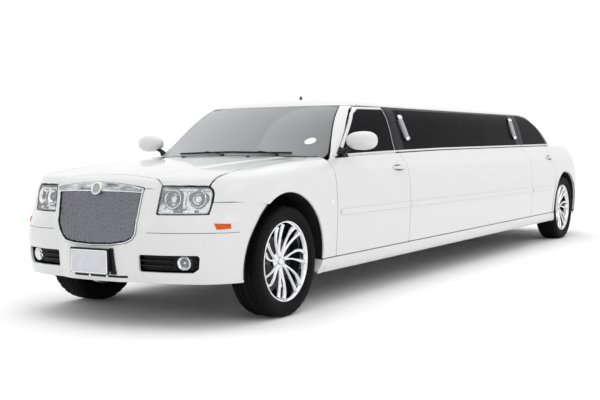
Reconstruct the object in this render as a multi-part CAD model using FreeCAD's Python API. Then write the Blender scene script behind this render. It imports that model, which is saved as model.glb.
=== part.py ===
# Stretch limousine, built as an assembly of separate body panels, glass, lamps,
# cabin, running gear and wheels.  Millimetres, +Z up, the car faces -Y.
# All shapes are first laid out with the front axle at y = 0 and then moved so
# that the origin is on the ground under the middle of the car.
import FreeCAD, Part
import os, math

V = FreeCAD.Vector
os.makedirs("parts", exist_ok=True)

# ---------------------------------------------------------------- driving sizes
WHEELBASE = 6096.0          # 3048 base car + 3048 stretch
FRONT_TIP = -870.0          # nose, from the front axle
REAR_TIP = 7176.0           # tail, from the front axle
Y_MID = (FRONT_TIP + REAR_TIP) / 2.0
TYRE_R, TYRE_W = 368.0, 236.0
RIM_R, RIM_W = 271.0, 228.0
TRACK_X = 800.0             # wheel centre plane
HUB_Z = TYRE_R
ARCH_R_F, ARCH_R_R = 452.0, 424.0
ARCH_Y_F, ARCH_Z = -22.0, 374.0
GAP = 6.0                   # shut line between panels
SILL_Z0, SILL_Z1 = 232.0, 338.0
INNER_X = 800.0             # inside face of doors and side walls
DOOR_F = (622.0, 1824.0)    # front door, front and rear edge
DOOR_R = (4884.0, 5716.0)   # rear door
BUMPER_SPLIT_F = 774.0      # fender over bumper cover
BUMPER_SPLIT_R = 668.0
HOOD_REAR, HOOD_FRONT = 560.0, -716.0
DECK_FRONT = 6226.0
DOOR_AXIS_X = 943.0
GLASS_T = 5.0
FLOOR_Z = 262.0

# lower body outlines.  columns: z, side x, nose y, nose corner x, y, front side
# start y, rear side end y, tail corner x, y, tail y
LOWER = [
    (200, 868, -770, 490, -732, -280, 6384, 520, 7050, 7085),
    (258, 908, -836, 530, -790, -290, 6390, 570, 7106, 7144),
    (330, 922, -860, 545, -809, -298, 6395, 590, 7126, 7166),
    (480, 932, -870, 553, -818, -300, 6400, 598, 7134, 7176),
    (600, 938, -870, 555, -818, -300, 6400, 600, 7134, 7176),
    (662, 940, -866, 555, -814, -298, 6400, 600, 7128, 7170),
    (690, 940, -838, 553, -786, -275, 6384, 598, 7100, 7140),
    (860, 930, -804, 545, -752, -250, 6370, 590, 7086, 7124),
    (950, 912, -770, 533, -720, -226, 6360, 580, 7078, 7116),
    (1000, 884, -748, 515, -701, -212, 6350, 560, 7064, 7100),
    (1055, 846, -724, 492, -678, -200, 6336, 534, 7036, 7072),
    (1160, 790, -690, 458, -648, -176, 6312, 504, 6996, 7030),
]
# top of the lower body across the car.  columns: y, height at the middle, height at x = 1000
TOPS = [
    (-1000, 850, 800), (-860, 886, 832), (-800, 916, 860), (-750, 938, 884), (-700, 955, 904), (-600, 968, 927), (-440, 981, 955),
    (-200, 1002, 988), (0, 1020, 1010), (200, 1036, 1024), (400, 1050, 1030), (640, 1064, 1034), (1600, 1086, 1046), (2700, 1102, 1062),
    (5400, 1124, 1082), (6100, 1130, 1084), (6600, 1130, 1080), (6900, 1126, 1070), (7110, 1112, 1054), (7300, 1080, 1020),
]
# cabin above the belt.  columns as LOWER
CABIN = [
    (990, 846, 480, 730, 632, 820, 5960, 700, 6150, 6290),
    (1100, 814, 656, 704, 788, 940, 5860, 664, 6068, 6190),
    (1420, 704, 1130, 622, 1212, 1320, 5330, 590, 5445, 5495),
    (1462, 650, 1215, 572, 1300, 1410, 5210, 530, 5325, 5375),
    (1496, 545, 1335, 465, 1430, 1530, 5030, 430, 5150, 5205),
    (1518, 330, 1600, 270, 1680, 1750, 4760, 250, 4840, 4880),
]
BELT = [(560, 1032), (640, 1038), (1600, 1060), (2700, 1078), (5400, 1098), (6300, 1104)]


def belt(y):
    for (a, za), (b, zb) in zip(BELT, BELT[1:]):
        if y <= b:
            return za + (zb - za) * (y - a) / (b - a)
    return BELT[-1][1]


# ---------------------------------------------------------------- helpers
def seg(a, b):
    return Part.LineSegment(a, b).toShape()


def arc(a, m, b):
    return Part.Arc(a, m, b).toShape()


def corner(xa, ya, xb, yb):
    """Point half way round the arc that ends at b along Y and passes through a."""
    r = ((xa - xb) ** 2 + (ya - yb) ** 2) / (2.0 * (xb - xa))
    cx = xb - r
    a0 = math.atan2(ya - yb, xa - cx)
    return cx + r * math.cos(a0 / 2.0), yb + r * math.sin(a0 / 2.0)


def outline(row, inset=0.0, dz=0.0):
    z, xs, yf, xa, ya, yb, yc, xd, yd, yr = row
    t = inset
    z += dz
    xs, yf, ya, yb = xs - t, yf + t, ya + t, yb + 0.6 * t
    xa, xd = xa - 0.35 * t, xd - 0.35 * t
    yc, yd, yr = yc - 0.6 * t, yd - t, yr - t
    m1, m2 = corner(xa, ya, xs, yb), corner(xd, yd, xs, yc)
    e = [
        arc(V(-xa, ya, z), V(0, yf, z), V(xa, ya, z)),
        arc(V(xa, ya, z), V(m1[0], m1[1], z), V(xs, yb, z)),
        seg(V(xs, yb, z), V(xs, yc, z)),
        arc(V(xs, yc, z), V(m2[0], m2[1], z), V(xd, yd, z)),
        arc(V(xd, yd, z), V(0, yr, z), V(-xd, yd, z)),
        arc(V(-xd, yd, z), V(-m2[0], m2[1], z), V(-xs, yc, z)),
        seg(V(-xs, yc, z), V(-xs, yb, z)),
        arc(V(-xs, yb, z), V(-m1[0], m1[1], z), V(-xa, ya, z)),
    ]
    return Part.Wire(e)


def loft(wires):
    s = Part.makeLoft(wires, True, True)
    if s.Volume < 0:
        s.reverse()
    return s


def polyface(pts):
    return Part.Face(Part.makePolygon(list(pts) + [pts[0]]))


def px(yz, x0, x1):
    """Outline in Y, Z pushed along X."""
    return polyface([V(x0, y, z) for y, z in yz]).extrude(V(x1 - x0, 0, 0))


def py(xz, y0, y1):
    return polyface([V(x, y0, z) for x, z in xz]).extrude(V(0, y1 - y0, 0))


def pz(xy, z0, z1):
    return polyface([V(x, y, z0) for x, y in xy]).extrude(V(0, 0, z1 - z0))


def box(x0, x1, y0, y1, z0, z1):
    return Part.makeBox(x1 - x0, y1 - y0, z1 - z0, V(x0, y0, z0))


def slab(low, z0, high, z1):
    """Solid between two outlines in X, Y at two heights."""
    a = Part.makePolygon([V(x, y, z0) for x, y in low + [low[0]]])
    b = Part.makePolygon([V(x, y, z1) for x, y in high + [high[0]]])
    return loft([a, b])


def cyl(r, x0, x1, y, z):
    return Part.makeCylinder(r, x1 - x0, V(x0, y, z), V(1, 0, 0))


def rod(a, b, r):
    a, b = V(*a), V(*b)
    d = b - a
    return Part.makeCylinder(r, d.Length, a, d)


def mirror(s):
    return s.mirror(V(0, 0, 0), V(1, 0, 0))


def pair(s):
    return Part.makeCompound(solids(s) + solids(mirror(s)))


def solids(s):
    return [x for x in s.Solids if x.Volume > 500.0]


def fuse(*shapes):
    out = shapes[0]
    for s in shapes[1:]:
        out = out.fuse(s)
    return out.removeSplitter()


def cut(a, *tools):
    for t in tools:
        a = a.cut(t)
    return a


OUT = {}


def keep(name, shape):
    OUT[name] = Part.makeCompound(solids(shape)).copy()


# ---------------------------------------------------------------- body volumes
def top_solid(drop=0.0, rows=TOPS):
    ws = []
    for y, zc, ze in rows:
        zc, ze = zc - drop, ze - drop
        ws.append(Part.Wire([
            seg(V(-1000, y, 60), V(1000, y, 60)), seg(V(1000, y, 60), V(1000, y, ze)),
            arc(V(1000, y, ze), V(0, y, zc), V(-1000, y, ze)), seg(V(-1000, y, ze), V(-1000, y, 60)),
        ]))
    return loft(ws)


TOP = top_solid()
FULL = loft([outline(r) for r in LOWER])
BODY = FULL.common(TOP)
THIN = loft([outline(r, 26.0) for r in LOWER])         # inside of nose, fenders and tail
CABIN_OUT = loft([outline(r) for r in CABIN])
CABIN_IN = loft([outline(r, 38.0, -24.0) for r in CABIN])
GLASS_OUT = loft([outline(r, 9.0, -5.0) for r in CABIN])
GLASS_IN = loft([outline(r, 9.0 + GLASS_T, -8.0) for r in CABIN])

ARCHES = [(ARCH_Y_F, ARCH_R_F), (WHEELBASE, ARCH_R_R)]
ARCH_CUT = fuse(*[cyl(r, -1000, 1000, y, ARCH_Z) for y, r in ARCHES])
skin = BODY.cut(THIN.common(top_solid(24.0)))          # 26 mm shell, open below
skin = skin.cut(box(-800, 800, -600, 6900, 100, 700))
wall = BODY.cut(box(-INNER_X, INNER_X, -500, 6600, 60, 1400))  # door-thick side walls

# ---------------------------------------------------------------- lower side panels
def side_region(y0, y1, z0, z1):
    """Block over a left side panel."""
    return box(INNER_X - 60, 1100, y0, y1, z0, z1)


def swing(y_axis, y_fixed):
    """Space a door may fill so that its rear edge clears the fixed edge at y_fixed:
    a cylinder about the hinge axis below the belt and a cone above it."""
    r = math.hypot(DOOR_AXIS_X - 936, y_fixed - y_axis) - 5.6
    low = Part.makeCylinder(r, 900, V(DOOR_AXIS_X, y_axis, 150), V(0, 0, 1))
    r0 = math.hypot(DOOR_AXIS_X - 846, y_fixed - y_axis) - 10.0
    r1 = math.hypot(DOOR_AXIS_X - 703, y_fixed - y_axis) - 11.0
    high = Part.makeCone(r0, r1, 370, V(DOOR_AXIS_X, y_axis, 1045), V(0, 0, 1))
    return low.fuse(high)


def belt_cut(x0, x1, over=0.0):
    """Everything over the belt line."""
    pts = [(y, z + over) for y, z in BELT] + [(6400, 1600), (400, 1600)]
    return px([(400, BELT[0][1] + over)] + pts, x0, x1)


g = GAP / 2.0
fender = skin.common(fuse(
    px([(-640, BUMPER_SPLIT_F + g), (-640, 1200), (DOOR_F[0] - g, 1200), (DOOR_F[0] - g, SILL_Z1 + g),
        (ARCH_Y_F, SILL_Z1 + g), (ARCH_Y_F, BUMPER_SPLIT_F + g)], 0, 1000),
))
# shut line between bonnet and fender, seen from above
HOOD_EDGE = [(0, HOOD_FRONT + 52), (400, HOOD_FRONT), (500, -722), (738, -622), (756, -585), (735, -420),
             (706, -150), (700, 200), (716, HOOD_REAR), (400, HOOD_REAR - 40)]
hood_plan = pz([(x, y) for x, y in HOOD_EDGE] + [(0, HOOD_REAR - 55)], 700, 1300)
hood_plan = fuse(hood_plan, mirror(hood_plan))
hood_gap = pz([(x + (GAP if 2 < i < 9 else 0), y - (GAP if i < 4 else 0) + (GAP if i > 7 else 0)) for i, (x, y) in enumerate(HOOD_EDGE)]
              + [(0, HOOD_REAR - 55 + GAP)], 700, 1300)
hood_gap = fuse(hood_gap, mirror(hood_gap))
COWL_REAR = 1000.0
COWL = [(716, HOOD_REAR + GAP), (400, HOOD_REAR - 40 + GAP), (0, HOOD_REAR - 55 + GAP), (-400, HOOD_REAR - 40 + GAP),
        (-716, HOOD_REAR + GAP)]
cowl_plan = pz([(x * 1.008, y) for x, y in COWL] + [(-722, 900), (722, 900)], 700, 1300)
fender = cut(fender.common(box(690, 1000, -1000, 1000, 0, 1300)), hood_gap, cowl_plan, ARCH_CUT, CABIN_OUT)
HEADLAMP_BOX = px([(-900, 712), (-900, 895), (-540, 895), (-540, 712)], 0, 1000).common(
    py([(488, 712), (490, 890), (752, 884), (780, 842), (777, 775), (768, 712)], -950, -500))
fender = cut(fender, HEADLAMP_BOX)
fender = Part.makeCompound(sorted(solids(fender), key=lambda s: -s.Volume)[:1])
keep("front_fenders", pair(fender))

# bonnet
hood = BODY.common(hood_plan).cut(top_solid(34.0)).cut(CABIN_OUT)
hood = hood.cut(box(-1000, 1000, -1000, -500, 400, 866))
keep("bonnet", max(solids(hood), key=lambda s: s.Volume))

# front bumper cover with grille, lamp, plate and intake openings
GRILLE = [(-262, 538), (-318, 585), (-340, 630), (-336, 730), (-350, 845), (-358, 882), (0, 908), (358, 882), (350, 845),
          (336, 730), (340, 630), (318, 585), (262, 538), (0, 518)]
fascia = skin.common(box(-1000, 1000, -1000, ARCH_Y_F, 100, 1200))
fascia = fascia.cut(px([(-640, BUMPER_SPLIT_F - g), (-640, 1300), (100, 1300), (100, BUMPER_SPLIT_F - g)], -1000, 1000))
fascia = cut(fascia, hood_gap, ARCH_CUT, HEADLAMP_BOX, mirror(HEADLAMP_BOX), py(GRILLE, -1000, -600))
fascia = fascia.cut(py([(-215, 332), (-215, 470), (215, 470), (215, 332)], -1000, -600))
FOG = [(374, 362), (374, 464), (732, 464), (738, 450), (732, 386), (700, 362)]
fog_hole = py(FOG, -1000, -560)
fascia = cut(fascia, fog_hole, mirror(fog_hole))
MARKER = px([(-700, 620), (-700, 660), (-592, 657), (-592, 624)], 785, 1000)
marker = MARKER.common(BODY).cut(loft([outline(r, 10.0) for r in LOWER]))
fascia = cut(fascia, marker, mirror(marker))
keep("front_bumper", max(solids(fascia), key=lambda s: s.Volume))

# lamps
lamp = HEADLAMP_BOX.common(BODY).cut(loft([outline(r, 120.0) for r in LOWER])).cut(hood_gap)
lamp = cut(lamp, box(0, 1000, -1000, -500, 100, 715), fascia, fender)
keep("headlamps", pair(max(solids(lamp), key=lambda s: s.Volume)))

# grille: chrome surround and mesh
ring_out = py(GRILLE, -900, -700)
ring_in = py([(-250, 556), (-300, 600), (-320, 636), (-316, 730), (-328, 832), (328, 832), (316, 730), (320, 636), (300, 600), (250, 556), (0, 538)], -900, -690)
lay = loft([outline(r, -4.0) for r in LOWER]).cut(loft([outline(r, 40.0) for r in LOWER]))
surround = lay.common(ring_out).cut(ring_in)

mesh = loft([outline(r, 14.0) for r in LOWER]).cut(loft([outline(r, 24.0) for r in LOWER])).common(ring_in)
grille = fuse(surround, mesh)
keep("grille", max(solids(grille), key=lambda s: s.Volume))

# fog lamps in dark bezels that close the bumper openings
bezel = loft([outline(r, 26.0) for r in LOWER]).cut(loft([outline(r, 44.0) for r in LOWER])).common(
    py([(362, 350), (364, 476), (742, 476), (752, 452), (744, 380), (706, 350)], -1000, -520))
fog_cyl = Part.makeCylinder(44, 120, V(656, -800, 414), V(0, 1, 0))
bezel = bezel.cut(Part.makeCylinder(45, 200, V(656, -850, 414), V(0, 1, 0)))

fog = fog_cyl.common(loft([outline(r, 16.0) for r in LOWER])).common(box(0, 1000, -1000, -672, 100, 900))
fog = fuse(fog, Part.makeCylinder(45, 18, V(656, -690, 414), V(0, 1, 0)))
fog = fuse(fog, max(solids(bezel), key=lambda s: s.Volume), Part.makeCylinder(50, 6, V(656, -694, 414), V(0, 1, 0)))
keep("fog_lamps", pair(max(solids(fog), key=lambda s: s.Volume)))

# number plate bracket in front of the lower opening, with the two standard screw holes
PLATE_Z, PLATE_SCREWS = 408.0, 178.0
br = fuse(box(-160, 160, -896, -889, PLATE_Z - 80, PLATE_Z + 80), box(-150, 150, -889, -846, PLATE_Z - 84, PLATE_Z - 66))
for sx in (-1, 1):
    br = br.cut(Part.makeCylinder(3.2, 20, V(sx * PLATE_SCREWS / 2, -900, PLATE_Z + 62), V(0, 1, 0)))
br = fuse(br, box(-232, 232, -858, -838, PLATE_Z - 84, PLATE_Z - 70)).cut(fascia)
keep("front_plate_bracket", max(solids(br), key=lambda s: s.Volume))

# sills
sill = wall.common(box(0, 1000, ARCH_Y_F + 300, WHEELBASE - 300, SILL_Z0, SILL_Z1 - g))
sill = cut(sill, ARCH_CUT)
keep("sills", pair(sill))

# long panel between the doors, door panels, quarter panels
side = wall.cut(ARCH_CUT).cut(belt_cut(-1000, 1000))
centre = side.common(side_region(DOOR_F[1] + g, DOOR_R[0] - g, SILL_Z1 + g, 1300))
MOULD_Z = (604.0, 650.0)


def moulding(y0, y1):
    """Side strip, 12 mm proud with a bevelled edge."""
    return py([(925, MOULD_Z[0]), (944, MOULD_Z[0] + 4), (951, MOULD_Z[0] + 14), (951, MOULD_Z[1] - 14), (944, MOULD_Z[1] - 4),
               (925, MOULD_Z[1])], y0, y1)


centre = fuse(centre, moulding(DOOR_F[1] + g, DOOR_R[0] - g))
keep("centre_side_panels", pair(centre))


def window(pts):
    return px(pts, 0, 1000)


# side glass outlines, Y and Z, on the left
W_FRONT = [(878, 1062), (1215, 1350), (1285, 1392), (1790, 1418), (1790, 1074)]
W_LONG = [(1960, 1080), (1960, 1420), (4738, 1430), (4738, 1102)]
W_REAR = [(4960, 1106), (4960, 1431), (5150, 1427), (5350, 1390), (5540, 1300), (5736, 1122)]
# frames: the part of the cabin wall that moves with the doors
# columns: y, z, outer surface x where the edge has to swing clear, or None
F_FRONT = [(780, 1024, None), (796, 1020, None), (1185, 1366, None), (1275, 1424, None), (1860, 1440, None), (1860, 1024, None)]
F_REAR = [(DOOR_R[0] + g, 1060, None), (DOOR_R[0] + g, 1444, None), (5165, 1441, 677), (5385, 1405, 709), (5585, 1312, 741),
          (5790, 1130, 804), (5716, 1060, 846)]

gh_wall = CABIN_OUT.cut(CABIN_IN).cut(BODY)


def door_frame(pts, y_axis):
    """Window frame cut from the cabin wall.  The rear and top edges lean inwards so
    that they leave the opening along circles about the hinge axis."""
    def at(x):
        out = []
        for y, z, x_out in pts:
            k = 0.0 if x_out is None else 1.15 * (DOOR_AXIS_X - x_out) / (y - y_axis)
            out.append(V(x, y + (0.0 if x_out is None else k * (x - x_out)), z))
        return Part.makePolygon(out + [out[0]])
    return gh_wall.common(loft([at(400), at(1000)]))


ARCH_DOOR = Part.makeCone(ARCH_R_R + 46 + 24, ARCH_R_R + 46 - 8, 270, V(730, WHEELBASE, ARCH_Z), V(1, 0, 0))


def door(y0, y1, frame, glass, y_fixed):
    lower = side.common(side_region(y0 + g, y1 + 20, SILL_Z1 + g, 1300)).common(
        Part.makeCylinder(math.hypot(DOOR_AXIS_X - 936, y1 + g - y0) - 5.6, 1200, V(DOOR_AXIS_X, y0, 150), V(0, 0, 1)))
    if y0 > 4000:
        lower = lower.cut(ARCH_DOOR)
    d = fuse(lower, door_frame(frame, y0).common(swing(y0, y_fixed)))
    return d.cut(window(glass))


fd = door(DOOR_F[0], DOOR_F[1], F_FRONT, W_FRONT, DOOR_F[1] + g)
fd = fuse(max(solids(fd), key=lambda s: s.Volume), moulding(668, DOOR_F[1] - g))
rd = door(DOOR_R[0], DOOR_R[1], F_REAR, W_REAR, DOOR_R[1] + g + 60)
rd = fuse(max(solids(rd), key=lambda s: s.Volume), moulding(DOOR_R[0] + 22, 5520))


def handle(y, z, x):
    grip = fuse(box(x - 4, x + 30, y - 92, y + 92, z - 13, z + 13))
    grip = grip.cut(box(x - 20, x + 14, y - 66, y + 66, z - 30, z + 30))
    return grip


fd = fuse(fd, handle(1650, 944, 914))
rd = fuse(rd, handle(5596, 962, 904))
keep("front_door_left", fd)
keep("front_door_right", mirror(fd))
keep("rear_door_left", rd)
keep("rear_door_right", mirror(rd))
glass = GLASS_OUT.cut(GLASS_IN)
gf = glass.common(window(W_FRONT)).common(box(300, 1000, 0, 6000, 900, 1500))
gr = glass.common(window(W_REAR)).common(box(300, 1000, 0, 6000, 900, 1500))
gl = glass.common(window(W_LONG)).common(box(300, 1000, 0, 6000, 900, 1500))
for nm, s in (("front_door_glass", gf), ("rear_door_glass", gr)):
    keep(nm + "_left", s)
    keep(nm + "_right", mirror(s))
keep("long_side_windows", pair(gl))

# quarter panels
quarter = fuse(
    side.common(side_region(DOOR_R[1] + g, 6600, 600, 1300)),
    skin.common(box(0, 1000, 6590, 7300, 100, 1300)),
    side.common(side_region(5560, 5760, SILL_Z1 + g, 1300)).common(Part.makeCone(ARCH_R_R + 40 + 24, ARCH_R_R + 40 - 8, 270, V(730, WHEELBASE, ARCH_Z), V(1, 0, 0))),
)
quarter = quarter.common(fuse(box(0, 1000, 5500, WHEELBASE, SILL_Z1 + g, 1300), box(0, 1000, WHEELBASE - 1, 7300, BUMPER_SPLIT_R + g, 1300)))
quarter = quarter.cut(cyl(ARCH_R_R, 0, 1000, WHEELBASE, ARCH_Z))
door_clear = side_region(DOOR_R[0] - 200, DOOR_R[1] + g, 300, 1300).cut(
    Part.makeCone(ARCH_R_R + 40 + 24, ARCH_R_R + 40 - 8, 270, V(730, WHEELBASE, ARCH_Z), V(1, 0, 0)))
quarter = quarter.cut(door_clear)
TAIL = px([(7300, 712), (6940, 712), (6900, 760), (6880, 1000), (6900, 1040), (7300, 1040)], 620, 1000)
LID_PLAN = [(0, DECK_FRONT), (640, DECK_FRONT - 36), (700, 6300), (716, 6600), (700, 6990), (640, 7010), (640, 7300), (0, 7300)]
lid_cut = pz([(x + (GAP if 1 < i < 7 else 0), y - (GAP if i in (0, 1) else 0)) for i, (x, y) in enumerate(LID_PLAN)], 700, 1300)
quarter = cut(quarter, TAIL, lid_cut, CABIN_OUT, box(-10, 640, 6900, 7300, 600, 1300))
keep("rear_quarters", pair(Part.makeCompound(sorted(solids(quarter), key=lambda s: -s.Volume)[:1])))

tail = TAIL.common(BODY).cut(loft([outline(r, 70.0) for r in LOWER])).cut(quarter).cut(lid_cut)
keep("tail_lamps", pair(max(solids(tail), key=lambda s: s.Volume)))

# boot lid: deck and rear face
lid_plan = pz(LID_PLAN, 700, 1300)
lid_plan = fuse(lid_plan, mirror(lid_plan))
LID_Z = 742.0
lid = skin.common(lid_plan).common(box(-1000, 1000, 6000, 7300, LID_Z, 1300)).cut(CABIN_OUT)
lid = cut(lid, box(640, 1000, 6000, 7300, 0, 1045), box(-1000, -640, 6000, 7300, 0, 1045))
keep("boot_lid", max(solids(lid), key=lambda s: s.Volume))

# rear bumper cover
rb = skin.common(box(-1000, 1000, WHEELBASE + 200, 7300, SILL_Z0 + 18, BUMPER_SPLIT_R - g))
rb2 = skin.common(box(-634, 634, 6900, 7300, BUMPER_SPLIT_R - g - 1, LID_Z - GAP))
rb = cut(fuse(rb, rb2), ARCH_CUT)
for sx in (-470, 470):                                  # cut-outs round the exhaust tips
    rb = rb.cut(fuse(Part.makeCylinder(44, 400, V(sx, 6990, 300), V(0, 1, 0)), box(sx - 44, sx + 44, 6990, 7300, 200, 300)))
keep("rear_bumper", max(solids(rb), key=lambda s: s.Volume))

# ---------------------------------------------------------------- cabin top
roof = gh_wall.common(box(-1000, 1000, 0, 7000, 1000, 1600))
DLO = fuse(px([(F_FRONT[0][0] - 60, 900)] + [(a - (8 if i < 3 else 0), b + (7 if i > 1 else 0)) for i, (a, b, _) in enumerate(F_FRONT[:4])]
              + [(1824 + g, 1447), (1824 + g, 900)], -1000, 1000),
           px([(1824 - g, 900), (1824 - g, 1447), (4884 + g, 1451), (4884 + g, 900)], -1000, 1000),
           px([(4884 - g, 900), (4884 - g, 1451), (5171, 1448), (5391, 1412), (5591, 1319), (5798, 1137), (5760, 900)], -1000, 1000))
DLO = DLO.cut(box(-420, 420, 0, 7000, 800, 1600))
WS = [(-740, 990), (-768, 1045), (-640, 1370), (-606, 1420), (-560, 1444), (560, 1444), (606, 1420), (640, 1370), (768, 1045), (740, 990)]
WSP = py(WS, 300, 1330)
RW = [(-640, 1000), (-650, 1108), (-545, 1370), (-500, 1424), (500, 1424), (545, 1370), (650, 1108), (640, 1000)]
RWP = py(RW, 5350, 6500)
roof = cut(roof, DLO, WSP.common(box(-1000, 1000, 0, 1330, 900, 1444)), RWP)
ws = glass.common(WSP).common(box(-1000, 1000, 200, 1330, 1000, 1460)).cut(BODY)
keep("windscreen", max(solids(ws), key=lambda s: s.Volume))
rw = glass.common(RWP).cut(BODY)
keep("rear_window", max(solids(rw), key=lambda s: s.Volume))

# pillars each side of the long windows, from belt to roof rail, and the frame over and under the glass
pf = gh_wall.common(px([(1824 + g, 1000), (1824 + g, 1448), (4884 - g, 1452), (4884 - g, 1000)], 300, 1000)).cut(window(W_LONG))
roof = fuse(max(solids(roof), key=lambda s: s.Volume), pf, mirror(pf))
keep("roof", max(solids(roof), key=lambda s: s.Volume))

# cowl with wipers
cowl = BODY.common(pz(COWL + [(-716, 770), (716, 770)], 700, 1300)).cut(top_solid(30.0))
cowl = cowl.cut(CABIN_OUT)
keep("cowl", max(solids(cowl), key=lambda s: s.Volume))

# ---------------------------------------------------------------- mirrors
def shell_mirror():
    body = Part.makeSphere(1.0)
    m = FreeCAD.Matrix()
    m.scale(V(124, 62, 72))
    body = body.transformGeometry(m)
    body.translate(V(996, 884, 1160))
    body = body.cut(box(800, 1200, 916, 1000, 900, 1300))
    arm = fuse(box(836, 960, 850, 900, 1074, 1100), box(826, 862, 800, 930, 1044, 1100))
    return fuse(body, arm)


mir = shell_mirror().cut(fd).cut(gf)
mir = max(solids(mir), key=lambda s: s.Volume)
keep("mirror_left", mir)
keep("mirror_right", mirror(mir))

# ---------------------------------------------------------------- underbody
floor = box(-INNER_X + 1, INNER_X - 1, 520, 5560, FLOOR_Z, FLOOR_Z + 30)
firewall = box(-INNER_X + 1, INNER_X - 1, 490, 520, FLOOR_Z, 960)
tunnel = box(-130, 130, 520, 5560, FLOOR_Z, FLOOR_Z + 170).cut(box(-105, 105, 500, 5600, FLOOR_Z - 5, FLOOR_Z + 145))
floor = floor.cut(box(-105, 105, 500, 5600, FLOOR_Z - 5, FLOOR_Z + 60))
floor = fuse(floor, firewall, tunnel)
bulkhead = box(-INNER_X + 1, INNER_X - 1, 5530, 5560, FLOOR_Z, 1020)
boot = fuse(box(-560, 560, 5560, 6980, 520, 545), box(-INNER_X + 1, INNER_X - 1, 5560, 5600, FLOOR_Z, 545))
floor = fuse(floor, bulkhead, boot)
rails = fuse(box(330, 390, -560, 500, 360, 440), box(520, 580, 520, 5530, FLOOR_Z - 40, FLOOR_Z))
rails = fuse(rails, mirror(rails))
floor = fuse(floor, rails, box(-600, 600, -640, -560, 360, 440)).cut(box(-62, 62, 380, 5640, 270, 404))
floor = floor.cut(Part.makeCylinder(9.0, 80, V(186, -640, 400), V(0, 1, 0)))   # towing eye socket
keep("floor_pan", max(solids(floor), key=lambda s: s.Volume))

# wheel arch liners
def liner(yc, r, x0):
    c = cyl(r, x0, 884, yc, ARCH_Z).cut(cyl(r - 8, x0 + 8, 900, yc, ARCH_Z))
    return c.common(box(0, 1000, yc - 800, yc + 800, 300, 1000))


lf = liner(ARCH_Y_F + 14, ARCH_R_F + 30, 396).cut(fuse(fender, fascia)).cut(wall).cut(skin)
lr = liner(WHEELBASE, ARCH_R_R + 14, 600).cut(quarter).cut(wall).cut(skin).cut(rd)
lf = lf.cut(OUT["floor_pan"]).common(box(0, 1000, -1000, 484, 300, 1000))
lr = lr.cut(OUT["floor_pan"]).cut(box(580, 625, WHEELBASE - 170, WHEELBASE + 170, 200, 500))
keep("arch_liners", pair(Part.makeCompound([max(solids(lf), key=lambda s: s.Volume), max(solids(lr), key=lambda s: s.Volume)])))

keep("engine", box(-260, 260, -380, 330, 330, 800))

# front suspension: subframe with two lower arms
sub = fuse(box(-300, 300, -180, 180, 225, 285), box(-300, 300, -40, 40, 285, 320))
armL = fuse(rod((290, -120, 252), (640, -8, 224), 18), rod((290, 140, 252), (640, 8, 224), 18),
            Part.makeCylinder(30, 28, V(650, 0, 214), V(0, 0, 1)))
sub = fuse(sub, armL, mirror(armL))
keep("front_subframe", max(solids(sub), key=lambda s: s.Volume))

# rear suspension: cradle, arms and hub carriers
ra = fuse(box(-330, 330, WHEELBASE - 160, WHEELBASE + 160, 300, 360),
          Part.makeSphere(110, V(0, WHEELBASE, 352)))
raL = fuse(rod((320, WHEELBASE - 100, 320), (640, WHEELBASE, 262), 18), rod((320, WHEELBASE + 110, 330), (640, WHEELBASE, 262), 18),
           rod((90, WHEELBASE, HUB_Z), (640, WHEELBASE, HUB_Z), 20), box(628, 668, WHEELBASE - 50, WHEELBASE + 50, 230, 470),
           cyl(30, 660, 752, WHEELBASE, HUB_Z))
ra = fuse(ra, raL, mirror(raL))
keep("rear_suspension", max(solids(ra), key=lambda s: s.Volume))

# propeller shaft, tank and exhaust
keep("propeller_shaft", rod((0, 420, 330), (0, WHEELBASE - 162, 345), 36))
keep("fuel_tank", box(-500, 500, 5610, 5860, 300, 500).cut(box(-70, 70, 5600, 5900, 290, 410)))
EX = [(230, 420, 240), (230, 5500, 240)]
pipe = fuse(rod((240, 200, 226), (240, 5200, 226), 26), box(150, 340, 2600, 3300, 185, 250))
pipe = fuse(pipe, mirror(pipe))
pipe = pipe
tipL = fuse(box(330, 560, 6500, 6860, 262, 420), rod((470, 6840, 300), (470, 7132, 300), 36))
tipL = tipL.cut(rod((470, 6940, 300), (470, 7200, 300), 32))
ex = Part.makeCompound(solids(pipe) + solids(tipL) + solids(mirror(tipL)))
keep("exhaust", ex)

# ---------------------------------------------------------------- cabin pieces seen through the glass
dash = fuse(px([(640, 700), (640, 960), (700, 1000), (900, 985), (960, 900), (900, 700)], -720, 720),
            box(-130, 130, 900, 1500, FLOOR_Z + 175, 560))
dash = fuse(dash, rod((380, 900, 880), (380, 1080, 930), 22))
wheel = Part.makeTorus(186, 15, V(380, 1092, 934), V(0, 180, 50))
wheel = fuse(wheel, Part.makeCylinder(60, 30, V(380, 1078, 929), V(0, 180, 50)),
             rod((380 - 180, 1092, 934), (380 + 180, 1092, 934), 12))
dash = fuse(dash, wheel).cut(CABIN_OUT.cut(CABIN_IN)).cut(glass)
keep("dashboard", max(solids(dash), key=lambda s: s.Volume))


def seat(x):
    s = fuse(box(x - 260, x + 260, 1180, 1680, 380, 560),
             px([(1600, 500), (1780, 1120), (1660, 1130), (1540, 540)], x - 250, x + 250),
             px([(1745, 1110), (1790, 1290), (1700, 1295), (1670, 1120)], x - 130, x + 130),
             box(x - 200, x + 200, 1240, 1620, FLOOR_Z + 30, 385))
    return s


keep("front_seats", pair(seat(400)))
keep("partition", fuse(box(-755, 755, 1860, 1890, FLOOR_Z + 172, 1000), box(-600, 600, 1866, 1884, 1000, 1300)))
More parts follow.
